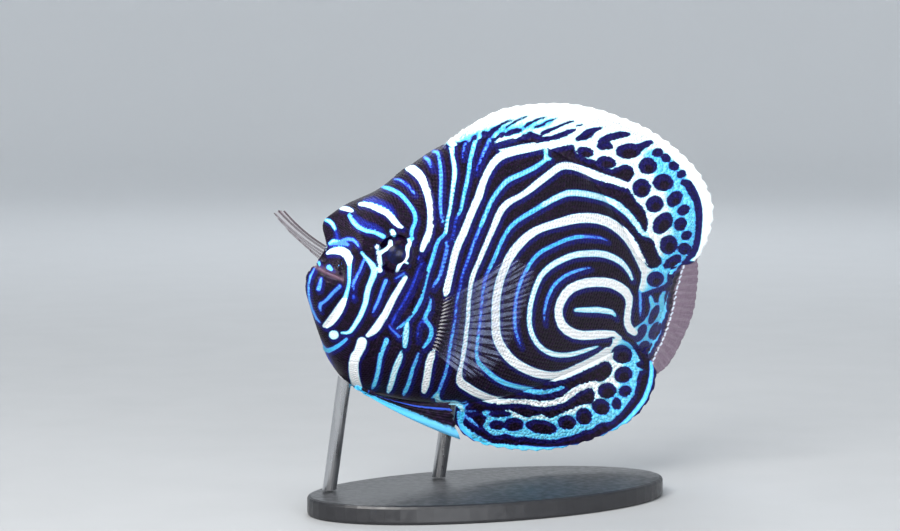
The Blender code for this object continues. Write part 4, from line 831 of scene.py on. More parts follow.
def eye_frame(side):
    """Centre, line of sight and two cross axes of an eye, in world millimetres. Both eyes look forward
    and a little up, as the left one looks at the camera in the photograph."""
    level = -side_axis(EYE_S)
    look = unit(camera_axes()[2] @ TILT * EYE_LEAD + level * (1 - EYE_LEAD))
    if side > 0:
        look = look - 2 * (look @ level) * level
    ahead = unit(np.cross(look, [0.0, 0.0, 1.0])) * side
    rise = np.cross(ahead, look) * side
    centre = to_world(bend(EYE_S, side * EYE_Y, EYE_V))
    return centre, look @ TILT.T, ahead @ TILT.T, rise @ TILT.T


def round_eye(points, side):
    """Height over an eye's centre along its line of sight, and distance from that line."""
    centre, look, _, _ = eye_frame(side)
    from_eye = points - centre
    height = from_eye @ look
    return height, np.linalg.norm(from_eye - height[..., None] * look, axis=-1)


def sink_sockets(points):
    """Presses the skin in behind each eyeball, and raises a rim round it."""
    for side in (-1, 1):
        look = eye_frame(side)[1]
        height, off = round_eye(points, side)
        facing = smooth_step(*SOCKET_FRONT, height)
        inside = smooth_step(*SOCKET_WALL, off - SOCKET_R)
        press = np.minimum(SOCKET_FLOOR - height, 0) * inside * facing
        rim = SOCKET_RIM * bump(off - SOCKET_R - SOCKET_RIM_OFF, SOCKET_RIM_HALF) * facing
        points = points + look * (press + rim)[..., None]
    return points


BODY = Body()


def body_marks():
    values = FIELD.marks(BODY.pixel)
    at_mouth = smooth_step(MOUTH_CORNER[0] + 0.9, MOUTH_CORNER[0] - 0.4, BODY.s)
    values["lip"] = 0.7 * bump(BODY.v - mouth_height(BODY.s) - GAP / 2, 0.30) * at_mouth
    return values


class Paint:
    """Builds one material's nodes."""

    def __init__(self, name):
        self.material = bpy.data.materials.new(name)
        self.material.use_nodes = True
        self.tree = self.material.node_tree
        self.shader = self.tree.nodes["Principled BSDF"]

    def node(self, kind, inputs=None, **settings):
        made = self.tree.nodes.new(kind)
        for key, value in settings.items():
            setattr(made, key, value)
        for key, value in (inputs or {}).items():
            self.plug(made.inputs[key], value)
        return made

    def plug(self, socket, value):
        if isinstance(value, bpy.types.NodeSocket):
            self.tree.links.new(value, socket)
        else:
            socket.default_value = value

    def attribute(self, name):
        return self.node("ShaderNodeAttribute", attribute_name=name).outputs["Fac"]

    def math(self, operation, *values):
        return self.node("ShaderNodeMath", dict(enumerate(values)), operation=operation).outputs[0]

    def smooth(self, low, high, value, start=0.0, end=1.0):
        made = self.node("ShaderNodeMapRange", {"Value": value, "From Min": low, "From Max": high,
                                                "To Min": start, "To Max": end})
        made.interpolation_type = "SMOOTHSTEP"
        return made.outputs["Result"]

    def noise(self, scale, detail=3.0, stretch=None):
        where = self.node("ShaderNodeTexCoord").outputs["Object"]
        if stretch:
            where = self.node("ShaderNodeMapping", {"Vector": where, "Scale": stretch}).outputs["Vector"]
        inputs = {"Vector": where, "Scale": scale, "Detail": detail}
        return self.node("ShaderNodeTexNoise", inputs).outputs["Fac"]

    def mix(self, factor, a, b):
        made = self.node("ShaderNodeMix", data_type="RGBA")
        self.plug(made.inputs[0], factor)
        for k, value in ((6, a), (7, b)):
            self.plug(made.inputs[k], value if isinstance(value, bpy.types.NodeSocket) else (*value, 1))
        return made.outputs[2]

    def ramp(self, value, stops):
        made = self.node("ShaderNodeValToRGB", {"Fac": value})
        marks = made.color_ramp.elements
        while len(marks) < len(stops):
            marks.new(0.5)
        for mark, (place, colour) in zip(marks, stops):
            mark.position = place
            mark.color = (*colour, 1)
        return made.outputs["Color"]

    def bump(self, height, strength, distance):
        inputs = {"Height": height, "Strength": strength, "Distance": distance * MM}
        made = self.node("ShaderNodeBump", inputs)
        self.tree.links.new(made.outputs["Normal"], self.shader.inputs["Normal"])

    def set(self, **values):
        for key, value in values.items():
            value = (*value, 1) if isinstance(value, tuple) else value
            self.plug(self.shader.inputs[key.replace("_", " ")], value)


NEAR_BLACK, PLUM, DEEP_BLUE = (0.0032, 0.0012, 0.0060), (0.015, 0.0042, 0.024), (0.007, 0.007, 0.15)
LIGHT_TONES = ((0.0, (0.007, 0.010, 0.15)), (0.2, (0.02, 0.05, 0.62)), (0.4, (0.12, 0.40, 0.98)),
               (0.55, (0.055, 0.60, 0.92)), (0.7, (0.34, 0.81, 0.99)), (0.86, (0.72, 0.95, 1.0)),
               (1.0, (0.97, 0.97, 0.97)))
# Distances from a mark, in pixels of the photograph, at which the deep blue and the marks end and begin
BLUE_BELOW, BLUE_BESIDE, CYAN_EDGE, MARK_EDGE = (3.4, 0.5), (1.9, 0.3), (-1.3, 0.3), (0.35, -0.35)
EDGE_CYAN = 0.30             # how much a mark's tone falls at its edge
# Pupil colours: its own near black, then a painted blue sheen, a painted reflection mottled over it
PUPIL_DARK, PUPIL_PAINTED_SHEEN = (0.002, 0.002, 0.010), (0.005, 0.010, 0.075)
PECTORAL_COMB = (0.56, 0.53, 0.50)
TAIL_WEB, TAIL_RAY, TAIL_PALE = (0.24, 0.165, 0.225), (0.15, 0.10, 0.145), (0.36, 0.27, 0.34)
TAIL_DOT_COLOUR = (0.78, 0.86, 0.98)
PELVIC_DARK, PELVIC_RAY = (0.022, 0.010, 0.035), (0.04, 0.12, 0.75)
PELVIC_LEAD = (0.09, 0.62, 1.0), (0.17, 0.62, 1.0)       # the first ray, from root to tip
# Floor colours near the fish and far off; the paler far colour is painted light
FLOOR_NEAR, FLOOR_FAR = ((0.40, 0.41, 0.42), (0.44, 0.45, 0.46)), (0.90, 0.92, 0.94)
FLOOR_PAINTED_LIGHT_REACH = (0.2, 0.95)    # reach in metres over which the floor and wall are painted paler, painted light for the lamps' falloff
SKY, SKY_POWER = (0.86, 0.93, 1.0), 0.30
# Lamps: name, azimuth and elevation in degrees, distance and size in metres, power and colour
LAMPS = (
    ("key", -52, 34, 0.60, 0.34, 4.4, (1.0, 0.98, 0.95)),
    ("fill", -8, 4, 0.75, 0.45, 6.6, (0.94, 0.97, 1.0)),
    ("top", -10, 80, 0.60, 0.40, 1.1, (1.0, 1.0, 1.0)),
    ("back", 150, 40, 0.65, 0.30, 1.4, (0.9, 0.95, 1.0)),
)


def marked_colour(paint, glow):
    """Near black, deep blue beside the light marks, and the marks themselves with cyan edges.
    glow is how strong the deep blue is."""
    light, tone, under = (paint.attribute(key) for key in ("light", "tone", "under"))
    speck = paint.noise(2600.0, 2.0)
    dark = paint.mix(paint.smooth(0.40, 0.66, speck), NEAR_BLACK, PLUM)
    beside = paint.math("MAXIMUM", paint.smooth(*BLUE_BELOW, under), paint.smooth(*BLUE_BESIDE, light))
    beside = paint.math("MULTIPLY", beside, paint.smooth(0.28, 0.62, speck, 0.45 * glow, glow))
    dark = paint.mix(beside, dark, DEEP_BLUE)
    edge = paint.smooth(*CYAN_EDGE, light)
    tone = paint.math("SUBTRACT", tone, paint.math("MULTIPLY", edge, EDGE_CYAN))
    shade = paint.math("ADD", tone, paint.smooth(0.2, 0.8, speck, -0.05, 0.05))
    colour = paint.mix(paint.smooth(*MARK_EDGE, light), dark, paint.ramp(shade, LIGHT_TONES))
    return paint.mix(paint.attribute("lip"), colour, LIP_COLOUR)


def skin_paint(name, glow=0.9):
    paint = Paint(name)
    paint.set(Base_Color=marked_colour(paint, glow), Roughness=0.46, Specular_IOR_Level=0.20,
              Coat_Weight=0.05, Coat_Roughness=0.25)
    paint.bump(paint.noise(3800.0), 0.35, 0.02)
    return paint.material


def build_skin(paint):
    made = mesh_piece("skin", BODY.points.reshape(-1, 3), grid_faces(SKIN_RINGS, SKIN_COLUMNS, True),
                      body_marks(), paint)
    close_ends(made)
    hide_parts("head", "jaw_lower", "torso", "tail_stalk")


def close_ends(made):
    """Caps both ends of the skin, and turns all faces outwards."""
    form = bmesh.new()
    form.from_mesh(made.data)
    form.verts.ensure_lookup_table()
    for first in (0, (SKIN_RINGS - 1) * SKIN_COLUMNS):
        form.faces.new([form.verts[first + k] for k in range(SKIN_COLUMNS)])
    bmesh.ops.remove_doubles(form, verts=form.verts, dist=1e-7)
    bmesh.ops.recalc_face_normals(form, faces=form.faces)
    form.to_mesh(made.data)
    form.free()
    made.data.shade_smooth()


def on_body(run, place):
    """A look-up in the body's grids, at runs from the mouth in millimetres and shares of a half turn
    from the ridge of the back. Shares from 1 to 2 lie on the right flank."""
    fi = np.clip(run / BODY.length * (SKIN_RINGS - 1), 0, SKIN_RINGS - 1.001)
    fj = np.clip(place * HALF_TURN, 0, SKIN_COLUMNS - 0.001)
    i, j = fi.astype(int), fj.astype(int)
    fi, fj = fi - i, fj - j
    j2 = (j + 1) % SKIN_COLUMNS

    def look(grid):
        a, b = (fi[..., None], fj[..., None]) if grid.ndim == 3 else (fi, fj)
        return ((grid[i, j] * (1 - b) + grid[i, j2] * b) * (1 - a) +
                (grid[i + 1, j] * (1 - b) + grid[i + 1, j2] * b) * a)
    return look


# One scale: shares of its length, its width and the coat's depth. The last five lie under its rim.
SCALE_SHAPE = np.array([(0, -.36, .05), (0, .36, .05), (.5, -.5, .5), (.48, 0, .72), (.5, .5, .5),
                        (.76, -.49, .8), (.93, -.28, 1), (1, 0, 1.05), (.93, .28, 1), (.76, .49, .8),
                        (.74, -.47, -.1), (.90, -.27, -.1), (.96, 0, -.1), (.90, .27, -.1), (.74, .47, -.1)])
LENGTHWAYS, SIDEWAYS, UPWARDS = SCALE_SHAPE.T

SCALE_FACES = ((0, 3, 2), (0, 1, 3), (1, 4, 3), (2, 6, 5), (2, 3, 6), (3, 7, 6), (3, 8, 7), (3, 4, 8),
               (4, 9, 8), (5, 6, 11, 10), (6, 7, 12, 11), (7, 8, 13, 12), (8, 9, 14, 13))


def spread(axis, shares, size):
    """How far the points of every scale lie from its root along one of its axes."""
    return axis[:, None] * (shares[None, :, None] * size[:, None, None])


def scale_mesh(name, points, values, roots, paint):
    """All the scales as one piece. Each has its own small patch of the unwrap, where its root lies."""
    faces = [[k + n * len(SCALE_SHAPE) for k in face] for n in range(len(roots)) for face in SCALE_FACES]
    uv = roots[:, None] * 0.99 + 0.005 + (SCALE_SHAPE[None, :, :2] - [0.5, 0]) * UV_PATCH
    return mesh_piece(name, points.reshape(-1, 3), faces, values, paint, uv.reshape(-1, 2))


def scale_places(side):
    """Run, share of a half turn and size of each scale on one flank."""
    found = []
    run, row = SCALE_FIRST, 0
    while run < BODY.length - SCALE_LAST:
        ring = int(round(run / BODY.length * (SKIN_RINGS - 1)))
        flat_s = BODY.s[ring].mean()
        size = FACE_SCALE + (1 - FACE_SCALE) * smooth_step(FACE_END * 0.45, FACE_END * 1.3, flat_s)
        arc = arc_lengths(BODY.points[ring, :HALF_TURN + 1] if side < 0 else
                          BODY.points[ring, np.r_[HALF_TURN:SKIN_COLUMNS, 0]])
        wide = SCALE_WIDE * size
        count = max(int(arc[-1] / wide), 3)
        want = (np.arange(count) + (0.25 if row % 2 else 0.75)) / count * arc[-1]
        want = want + rng.normal(0, SCALE_STRAY * wide, count)
        place = np.interp(want, arc, np.linspace(0, 1, HALF_TURN + 1)) + (0 if side < 0 else 1)
        runs = np.full(count, run) + rng.normal(0, SCALE_STRAY * SCALE_LONG * size, count)
        found.append(np.stack([runs, place, np.full(count, size)], axis=1))
        run += SCALE_LONG * size
        row += 1
    found = np.concatenate(found)
    look = on_body(found[:, 0], found[:, 1])
    s, v = look(BODY.s), look(BODY.v)
    height, off = round_eye(look(BODY.bare), side)
    bare = (off < SOCKET_R + BARE_EYE) & (height > -1)
    bare |= (abs(v - mouth_height(s)) < BARE_MOUTH) & (s < MOUTH_CORNER[0] + 0.5)
    for place in NOSTRILS:
        bare |= np.hypot(s - place[0], v - place[1]) < BARE_NOSTRIL
    along, off = segment_place(s, v, SPINE_ROOT, SPINE_TIP)
    bare |= (off < BARE_SPINE) & (along > 0.05)
    return found[~bare]


def build_scales(name, side, paint):
    run, place, size = scale_places(side).T
    look, step = on_body(run, place), 0.15
    here, up = look(BODY.points), look(BODY.normal)
    forward = unit(on_body(run + step, place)(BODY.points) - on_body(run - step, place)(BODY.points))
    across = unit(np.cross(up, forward))
    up = np.cross(forward, across)
    long = SCALE_LONG * size * SCALE_OVER * rng.uniform(*SIZE_VARIES, len(size))
    wide = SCALE_WIDE * size * SCALE_ABREAST * rng.uniform(*SIZE_VARIES, len(size))
    deep = COAT * (0.4 + 0.4 * size) * rng.uniform(*DEPTH_VARIES, len(size))
    root = here - forward * (long * 0.5)[:, None] + up * SCALE_LIFT
    points = (root[:, None] + spread(forward, LENGTHWAYS, long) + spread(across, SIDEWAYS, wide) +
              spread(up, UPWARDS, deep))
    pixel = look(BODY.pixel)[:, None] + local_pixels(look, run, place, points - here[:, None])
    roots = np.stack([run / BODY.length, place / 2], axis=1)
    made = scale_mesh(name, points, FIELD.marks(pixel), roots, paint)


def local_pixels(look, run, place, offset):
    """How far off, in pixels of the photograph, places at offsets from each scale's place lie."""
    here, pixel = look(BODY.points), look(BODY.pixel)
    ahead, beside = on_body(run + 0.3, place), on_body(run, place + 0.004)
    a, b = ahead(BODY.points) - here, beside(BODY.points) - here
    aa, ab, bb = (np.sum(p * q, axis=-1)[:, None] for p, q in ((a, a), (a, b), (b, b)))
    da, db = (np.einsum("nkc,nc->nk", offset, p) for p in (a, b))
    size = np.maximum(aa * bb - ab * ab, 1e-12)
    along, over = (da * bb - db * ab) / size, (db * aa - da * ab) / size
    return (along[..., None] * (ahead(BODY.pixel) - pixel)[:, None] +
            over[..., None] * (beside(BODY.pixel) - pixel)[:, None])


def sheet(name, middle, across, half, values, paint, node):
    """A fin: a closed sheet with its rays raised in it, from grids of columns by rows."""
    columns, rows = half.shape
    count = columns * rows
    points = np.concatenate([to_world(middle + across * (half * face)[..., None]).reshape(-1, 3)
                             for face in (1, -1)])
    rim = np.concatenate([np.arange(rows), np.arange(1, columns) * rows + rows - 1,
                          (columns - 1) * rows + np.arange(rows - 2, -1, -1),
                          np.arange(columns - 2, 0, -1) * rows])
    after = np.roll(rim, -1)
    faces = grid_faces(columns, rows)
    wall = np.stack([after, rim, rim + count, after + count], axis=1)
    faces = np.concatenate([faces, faces[:, ::-1] + count, wall])
    doubled = {key: np.concatenate([value.ravel()] * 2) for key, value in values.items()}
    made = mesh_piece(name, points, faces, doubled, paint)
    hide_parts(node)


def across_fin(rays, steps):
    """Shares across a fin of each of its columns, with so many steps from ray to ray."""
    return np.linspace(0, 1, (rays - 1) * steps + 1)


def ray_profile(part, rays, share, split, narrow):
    """Ridge of each ray from 0 to 1 over a grid, splitting in two towards the edge where split is 1."""
    place = part * (rays - 1)
    off = (place - np.round(place))[:, None]
    return bump(abs(off) - SPLIT_APART * smooth_step(*SPLIT_FROM, share) * split[:, None], narrow)


def web_notch(part, rays):
    place = part * (rays - 1)
    return np.sin(math.pi * (place - np.floor(place))) ** 2


def fan(roots, tips, notch, share):
    """Points at shares along rays that run from roots to tips, less the notches in the web's edge."""
    run = tips - roots
    run = run * (1 - notch / np.linalg.norm(run, axis=1))[:, None]
    return roots[:, None] + run[:, None] * share[:, None]


def sunk_root(points, share, shifts):
    """Rows sunk into the body before a fin's first row, with their shares along the rays."""
    rows = [points[:, :1] + shift for shift in shifts]
    return np.concatenate([*rows, points], axis=1), np.concatenate([np.zeros(len(rows)), share])


def half_thickness(share, ray, web, thins, ridge, root, reach):
    flare = root * np.exp(-np.clip(share, 0, 1) / reach)
    return web * (1 - thins * share) + ridge * (1 - RAY_THINS * share) * ray + flare


def median_fin(name, edge, root, spines, rays, below, paint):
    total, sign, sunk = spines + rays, -1 if below else 1, len(ROOT_SINK)
    part = across_fin(total, RAY_STEPS)
    share = np.concatenate([np.zeros(sunk), np.linspace(0, 1, FIN_ROWS - sunk)])
    spiny = smooth_step(spines / total + 0.01, spines / total - 0.01, part)
    notch = web_notch(part, total) * (WEB_NOTCH + (SPINE_NOTCH - WEB_NOTCH) * spiny)
    notch = notch + abs(np.sin(part * FIN_RAGGED[1])) * FIN_RAGGED[0] * (1 - spiny)
    root_s = root[0] + (root[1] - root[0]) * part ** RAY_CROWD
    root_v = ridge_height(root_s, below) + sign * GAP * (1 - 4 * part ** 12)
    roots, tips = np.stack([root_s, root_v], axis=1), even_points(edge, len(part))
    bow = RAY_BOW * np.linalg.norm(tips - roots, axis=1)[:, None] * (share * (1 - share) * 4)
    flat = fan(roots, tips, notch, share)
    s = flat[..., 0] - bow * math.sqrt(0.5)
    v = flat[..., 1] + sign * bow * math.sqrt(0.5)
    v[:, :sunk] -= sign * np.array(ROOT_SINK)
    middle = along_tangent(root_s[:, None], s, 0.0, v)
    across = side_axis(root_s)[:, None]
    ray = ray_profile(part, total, share, 1 - spiny, MEDIAN_RIDGE)
    half = half_thickness(share, ray, *MEDIAN_THICK)
    half[0] = half[-1] = MEDIAN_THICK[0] * 0.5
    sheet(name, middle, across, half, FIELD.marks(to_pixel(to_world(middle))), paint, "fin_" + name)
    covered = FIN_COVERED - SPINES_LESS * spiny
    build_fin_scales(name + "_scales", middle, across, half, share, covered, paint)


def build_fin_scales(name, middle, across, half, share, reach, paint):
    """Scales on both faces of a dorsal or anal fin: middle, across and half are its grid, and reach is
    how far along each ray they go."""
    columns, rows = half.shape
    flat = middle.reshape(-1, 3)
    shown = ((share > 0.02) & (share < reach[:, None])).ravel()
    level = unit((middle[-1, -1] - middle[0, 0]) * [1, 1, 0])
    place = np.stack([flat @ level, flat[:, 2]], axis=1)
    low, high = place.min(axis=0), place.max(axis=0)
    roots = []
    for row, height in enumerate(np.arange(low[1], high[1], FIN_SCALE * FIN_SCALE_ROW)):
        for x in np.arange(low[0] + (row % 2) * FIN_SCALE / 2, high[0], FIN_SCALE):
            spot = np.array([x, height]) + rng.normal(0, FIN_SCALE_STRAY, 2)
            nearest = np.argmin(((place - spot) ** 2).sum(axis=1))
            if shown[nearest] and np.linalg.norm(place[nearest] - spot) < FIN_SCALE_NEAR:
                roots.append(nearest)
    roots = np.array(roots)
    size = FIN_SCALE * rng.uniform(*FIN_SIZE_VARIES, len(roots))
    forward = unit(np.gradient(middle, axis=1).reshape(-1, 3)[roots])
    out = np.broadcast_to(across, middle.shape).reshape(-1, 3)[roots]
    beside = np.cross(out, forward)
    here, thick = flat[roots][:, None], half.ravel()[roots][:, None]
    points, pixels, places = [], [], []
    for face in (-1, 1):
        moved = (spread(forward, LENGTHWAYS - 0.4, size * FIN_SCALE_OVER) +
                 spread(beside, SIDEWAYS, size * -face * FIN_SCALE_ABREAST))
        points.append(here + moved + face * out[:, None] * (thick + UPWARDS * FIN_COAT)[..., None])
        pixels.append(to_pixel(to_world(here)) * 0.2 + to_pixel(to_world(here + moved)) * 0.8)
        up = roots % rows / rows * 0.49 + max(face, 0) / 2
        places.append(np.stack([roots // rows / columns, up], axis=1))
    made = scale_mesh(name, to_world(np.concatenate(points)), FIELD.marks(np.concatenate(pixels)),
                      np.concatenate(places), paint)


def tail_fin(paint):
    part, last = across_fin(TAIL_RAYS, FIN_STEPS), STATIONS[-1]
    root_v = last[1] + (last[3] - last[1]) * (TAIL_INSET + (1 - 2 * TAIL_INSET) * part[:, None])
    tips = even_points(TAIL_EDGE, len(part))
    share = np.concatenate([TAIL_SUNK, np.linspace(0, 1, FIN_ROWS)])
    outside = np.clip(share, 0, 1)
    notch = web_notch(part, TAIL_RAYS)[:, None] * outside * WEB_NOTCH
    ragged = TAIL_RAGGED[0] * np.sin(part * TAIL_RAGGED[1])[:, None] * outside ** 4
    s = last[0] + GAP + (tips[:, :1] - last[0] - GAP) * share - notch - ragged
    v = root_v + (tips[:, 1:] - root_v) * outside
    v = np.where(share < 0, v * 0.93 - 0.03, v)
    middle = bend(s, 0.0, v)
    ray = ray_profile(part, TAIL_RAYS, share, np.ones(len(part)), TAIL_RIDGE)
    pixel = to_pixel(to_world(middle))
    values = {**FIELD.marks(pixel), "ray": ray, "dots": FIELD.look(FIELD.dots, pixel),
              "border": pixel[..., 0] - np.interp(pixel[..., 1], *np.array(TAIL_BORDER).T[::-1])}
    sheet("tail", middle, side_axis(s), half_thickness(share, ray, *TAIL_THICK), values, paint,
          "fin_tail")


def outer_surface(s, v):
    """Half width of the body at flat places s, v."""
    ss, yy, vv = (grid[:, 1:HALF_TURN].ravel() for grid in (BODY.s, -BODY.y, BODY.v))
    return np.array([yy[np.argmin((ss - a) ** 2 + (vv - b) ** 2)] for a, b in zip(s, v)])


def pectoral_fin(name, side, tips, belly_out, sag, rays, paint):
    """A pectoral fin that swells outwards by belly_out, and whose first rays hang down by sag."""
    part = across_fin(PECTORAL_RAYS, PECTORAL_STEPS)
    v_root = PECTORAL_TOP + (PECTORAL_BOTTOM - PECTORAL_TOP) * part
    s_root = PECTORAL_S + PECTORAL_SLANT * part
    y_root = np.interp(part, part[::12], outer_surface(s_root[::12], v_root[::12])) + GAP
    s_tip, y_tip, v_tip = even_points(tips, len(part)).T
    share = np.linspace(0, 1, FIN_ROWS)
    notch = (web_notch(part, PECTORAL_RAYS) * WEB_NOTCH +
             PECTORAL_RAGGED[0] * np.sin(part * PECTORAL_RAGGED[1]))
    middle = fan(bend(s_root, side * y_root, v_root), bend(s_tip, side * y_tip, v_tip), notch, share)
    out = side_axis(PECTORAL_S) * side
    bulge = (share * (1 - share) * 4)[:, None]
    middle = middle + out * belly_out * bulge
    middle = middle - np.array([0, 0, sag]) * (1 - part)[:, None, None] * bulge
    middle, share = sunk_root(middle, share, [-out * depth for depth in PECTORAL_SINK])
    split, ridge = (1.0, FINE_RIDGE) if side < 0 else (0.0, BUNDLE_RIDGE)
    ray = ray_profile(part, rays, share, np.full(len(part), split), ridge)
    half = half_thickness(share, ray, *PECTORAL_THICK)
    half[0] = half[-1] = half[0] + PECTORAL_RIM
    values = {"ray": ray, "share": np.broadcast_to(share, ray.shape)}
    sheet(name, middle, grid_normals(middle), half, values, paint, "fin_" + name)


def pelvic_fin(name, side, paint):
    part = across_fin(PELVIC_RAYS, FIN_STEPS)
    root_s = PELVIC_S[0] + (PELVIC_S[1] - PELVIC_S[0]) * part
    ss, yy, vv = (grid[:, HALF_TURN // 2:HALF_TURN].ravel() for grid in (BODY.s, -BODY.y, BODY.v))
    root_v = np.array([vv[np.argmin((ss - s) ** 2 + (yy - PELVIC_Y) ** 2)] for s in root_s])
    roots = np.stack([root_s, np.full(len(part), PELVIC_Y), root_v - GAP * 0.5], axis=1)
    tips = np.array(PELVIC_TIP) + np.outer(part ** PELVIC_CROWD, np.subtract(PELVIC_SHORT, PELVIC_TIP))
    share = np.linspace(0, 1, FIN_ROWS)
    flat = fan(roots, tips, web_notch(part, PELVIC_RAYS) * PELVIC_NOTCH, share)
    flat[..., 2] -= PELVIC_SAG * (4 * share * (1 - share))
    flat, share = sunk_root(flat, share, [np.array([0, 0, depth]) for depth in PELVIC_SINK])
    middle = bend(flat[..., 0], side * flat[..., 1], flat[..., 2])
    ray = ray_profile(part, PELVIC_RAYS, share, np.ones(len(part)), PELVIC_RIDGE)
    values = {"share": np.broadcast_to(share, ray.shape), "across": np.broadcast_to(part[:, None], ray.shape)}
    sheet(name, middle, grid_normals(middle), half_thickness(share, ray, *PELVIC_THICK), values, paint,
          "fin_" + name)


def eye_points(side):
    """An eyeball's points in world millimetres, on a grid from the pupil's middle round to the back."""
    centre, look, ahead, rise = eye_frame(side)
    tilt, spin = np.meshgrid(np.linspace(0, math.pi, EYE_STEPS),
                             np.arange(EYE_STEPS * 2) * math.pi / EYE_STEPS, indexing="ij")
    ball = np.cos(spin)[..., None] * ahead + np.sin(spin)[..., None] * rise
    depth = (np.cos(tilt) * EYE_FLAT)[..., None]
    return centre + EYE_R * (ball * np.sin(tilt)[..., None] + look * depth), tilt


def build_eye(name, side, paint):
    points, tilt = eye_points(side)
    values = FIELD.marks(to_pixel(eye_points(-1)[0]))
    values["tilt"] = EYE_R * np.sin(tilt) + np.where(tilt > math.pi / 2, EYE_BACK, 0)
    faces = grid_faces(EYE_STEPS, EYE_STEPS * 2, True)
    made = mesh_piece(name, points.reshape(-1, 3), faces if side < 0 else faces[:, ::-1], values, paint)
    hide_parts(name)


def eye_paint():
    paint = Paint("eye_paint")
    tilt = paint.attribute("tilt")
    iris = marked_colour(paint, 0.35)
    # The pupil: its near black mottled with a painted blue sheen that stands in for a reflection
    pupil = paint.mix(paint.smooth(0.35, 0.7, paint.noise(900.0)), PUPIL_DARK, PUPIL_PAINTED_SHEEN)
    colour = paint.mix(paint.smooth(PUPIL_R - 0.10, PUPIL_R + 0.06, tilt), pupil, iris)
    paint.set(Base_Color=colour, Roughness=0.3, Specular_IOR_Level=0.12, Coat_Weight=0.18,
              Coat_Roughness=0.05, Coat_IOR=1.22)
    return paint.material


def pectoral_paint(name, ray_colour, ray_cover, web_colour, web_cover):
    """Nearly clear: a comb of pale rays at the root, then thin dark rays in a faint pale web."""
    paint = Paint(name)
    ray, share = paint.attribute("ray"), paint.attribute("share")
    mottle = paint.noise(1400.0)
    comb = paint.math("MULTIPLY", paint.smooth(0.10, 0.01, share), paint.smooth(0.0, 0.012, share))
    rays = paint.mix(comb, ray_colour, PECTORAL_COMB)
    colour = paint.mix(paint.smooth(0.25, 0.55, ray), web_colour, rays)
    thin = paint.math("MULTIPLY", paint.smooth(0.3, 0.7, mottle, 0.5, 1.3),
                      paint.smooth(1.0, 0.88, share, 0.35, 1.0))
    web = paint.math("MULTIPLY", paint.smooth(0.05, 0.45, share, 0.0, web_cover), thin)
    alpha = paint.math("MULTIPLY", ray, paint.math("MAXIMUM", paint.math("MULTIPLY", comb, 0.6), ray_cover))
    alpha = paint.math("MAXIMUM", alpha, web)
    paint.set(Base_Color=colour, Roughness=0.40, Specular_IOR_Level=0.15, Alpha=alpha)
    paint.bump(mottle, 0.3, 0.02)
    return paint.material


def tail_paint():
    """Dark with the body's marks inside the dotted border, and nearly clear outside it."""
    paint = Paint("tail_paint")
    ray, border, dots = (paint.attribute(key) for key in ("ray", "border", "dots"))
    mottle = paint.noise(1700.0)
    clear = paint.mix(paint.smooth(0.3, 0.9, ray, 0.0, 0.55), TAIL_WEB, TAIL_RAY)
    clear = paint.mix(paint.smooth(0.35, 0.7, mottle, 0.0, 0.35), clear, TAIL_PALE)
    dark = marked_colour(paint, 0.7)
    inner = paint.math("ADD", border, paint.smooth(0.3, 0.7, mottle, -2.0, 2.0))
    colour = paint.mix(paint.smooth(-2.0, 1.5, inner), dark, clear)
    colour = paint.mix(paint.smooth(0.5, -0.5, dots), colour, TAIL_DOT_COLOUR)
    alpha = paint.smooth(-1.0, 5.0, inner, 1.0, 0.70)
    alpha = paint.math("ADD", alpha, paint.math("MULTIPLY", ray, 0.25))
    paint.set(Base_Color=colour, Roughness=0.42, Specular_IOR_Level=0.2, Alpha=alpha)
    paint.bump(mottle, 0.3, 0.03)
    return paint.material


def pelvic_paint():
    """Dark, with a bright first ray that widens towards its tip, and a faint second stripe."""
    paint = Paint("pelvic_paint")
    across, share = paint.attribute("across"), paint.attribute("share")
    mottle = paint.noise(1500.0)
    dark = paint.mix(paint.smooth(0.4, 0.65, mottle), NEAR_BLACK, PELVIC_DARK)
    wobble = paint.math("ADD", across, paint.smooth(0.3, 0.7, mottle, -0.02, 0.02))
    lead = paint.mix(paint.smooth(0.0, 1.0, share), *PELVIC_LEAD)
    off_lead = paint.math("ADD", wobble, paint.smooth(0.3, 1.0, share, 0.0, 0.18))
    colour = paint.mix(paint.smooth(0.30, 0.22, off_lead), dark, lead)
    second = paint.math("ABSOLUTE", paint.math("SUBTRACT", wobble, 0.66))
    colour = paint.mix(paint.smooth(0.07, 0.03, second, 0.0, 0.75), colour, PELVIC_RAY)
    paint.set(Base_Color=colour, Roughness=0.4, Specular_IOR_Level=0.35)
    paint.bump(mottle, 0.3, 0.03)
    return paint.material


def stand_paint(name, low, high, scale, stretch, rough, metal):
    paint = Paint(name)
    grain = paint.noise(scale, 4.0, stretch)
    paint.set(Base_Color=paint.mix(grain, low, high), Metallic=metal,
              Roughness=paint.smooth(0.3, 0.7, grain, rough - 0.06, rough + 0.08))
    paint.bump(grain, 0.12, 0.02)
    return paint.material


def dress_node(name, material):
    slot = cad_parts[name].material_slots[0]
    slot.link = "OBJECT"
    slot.material = material


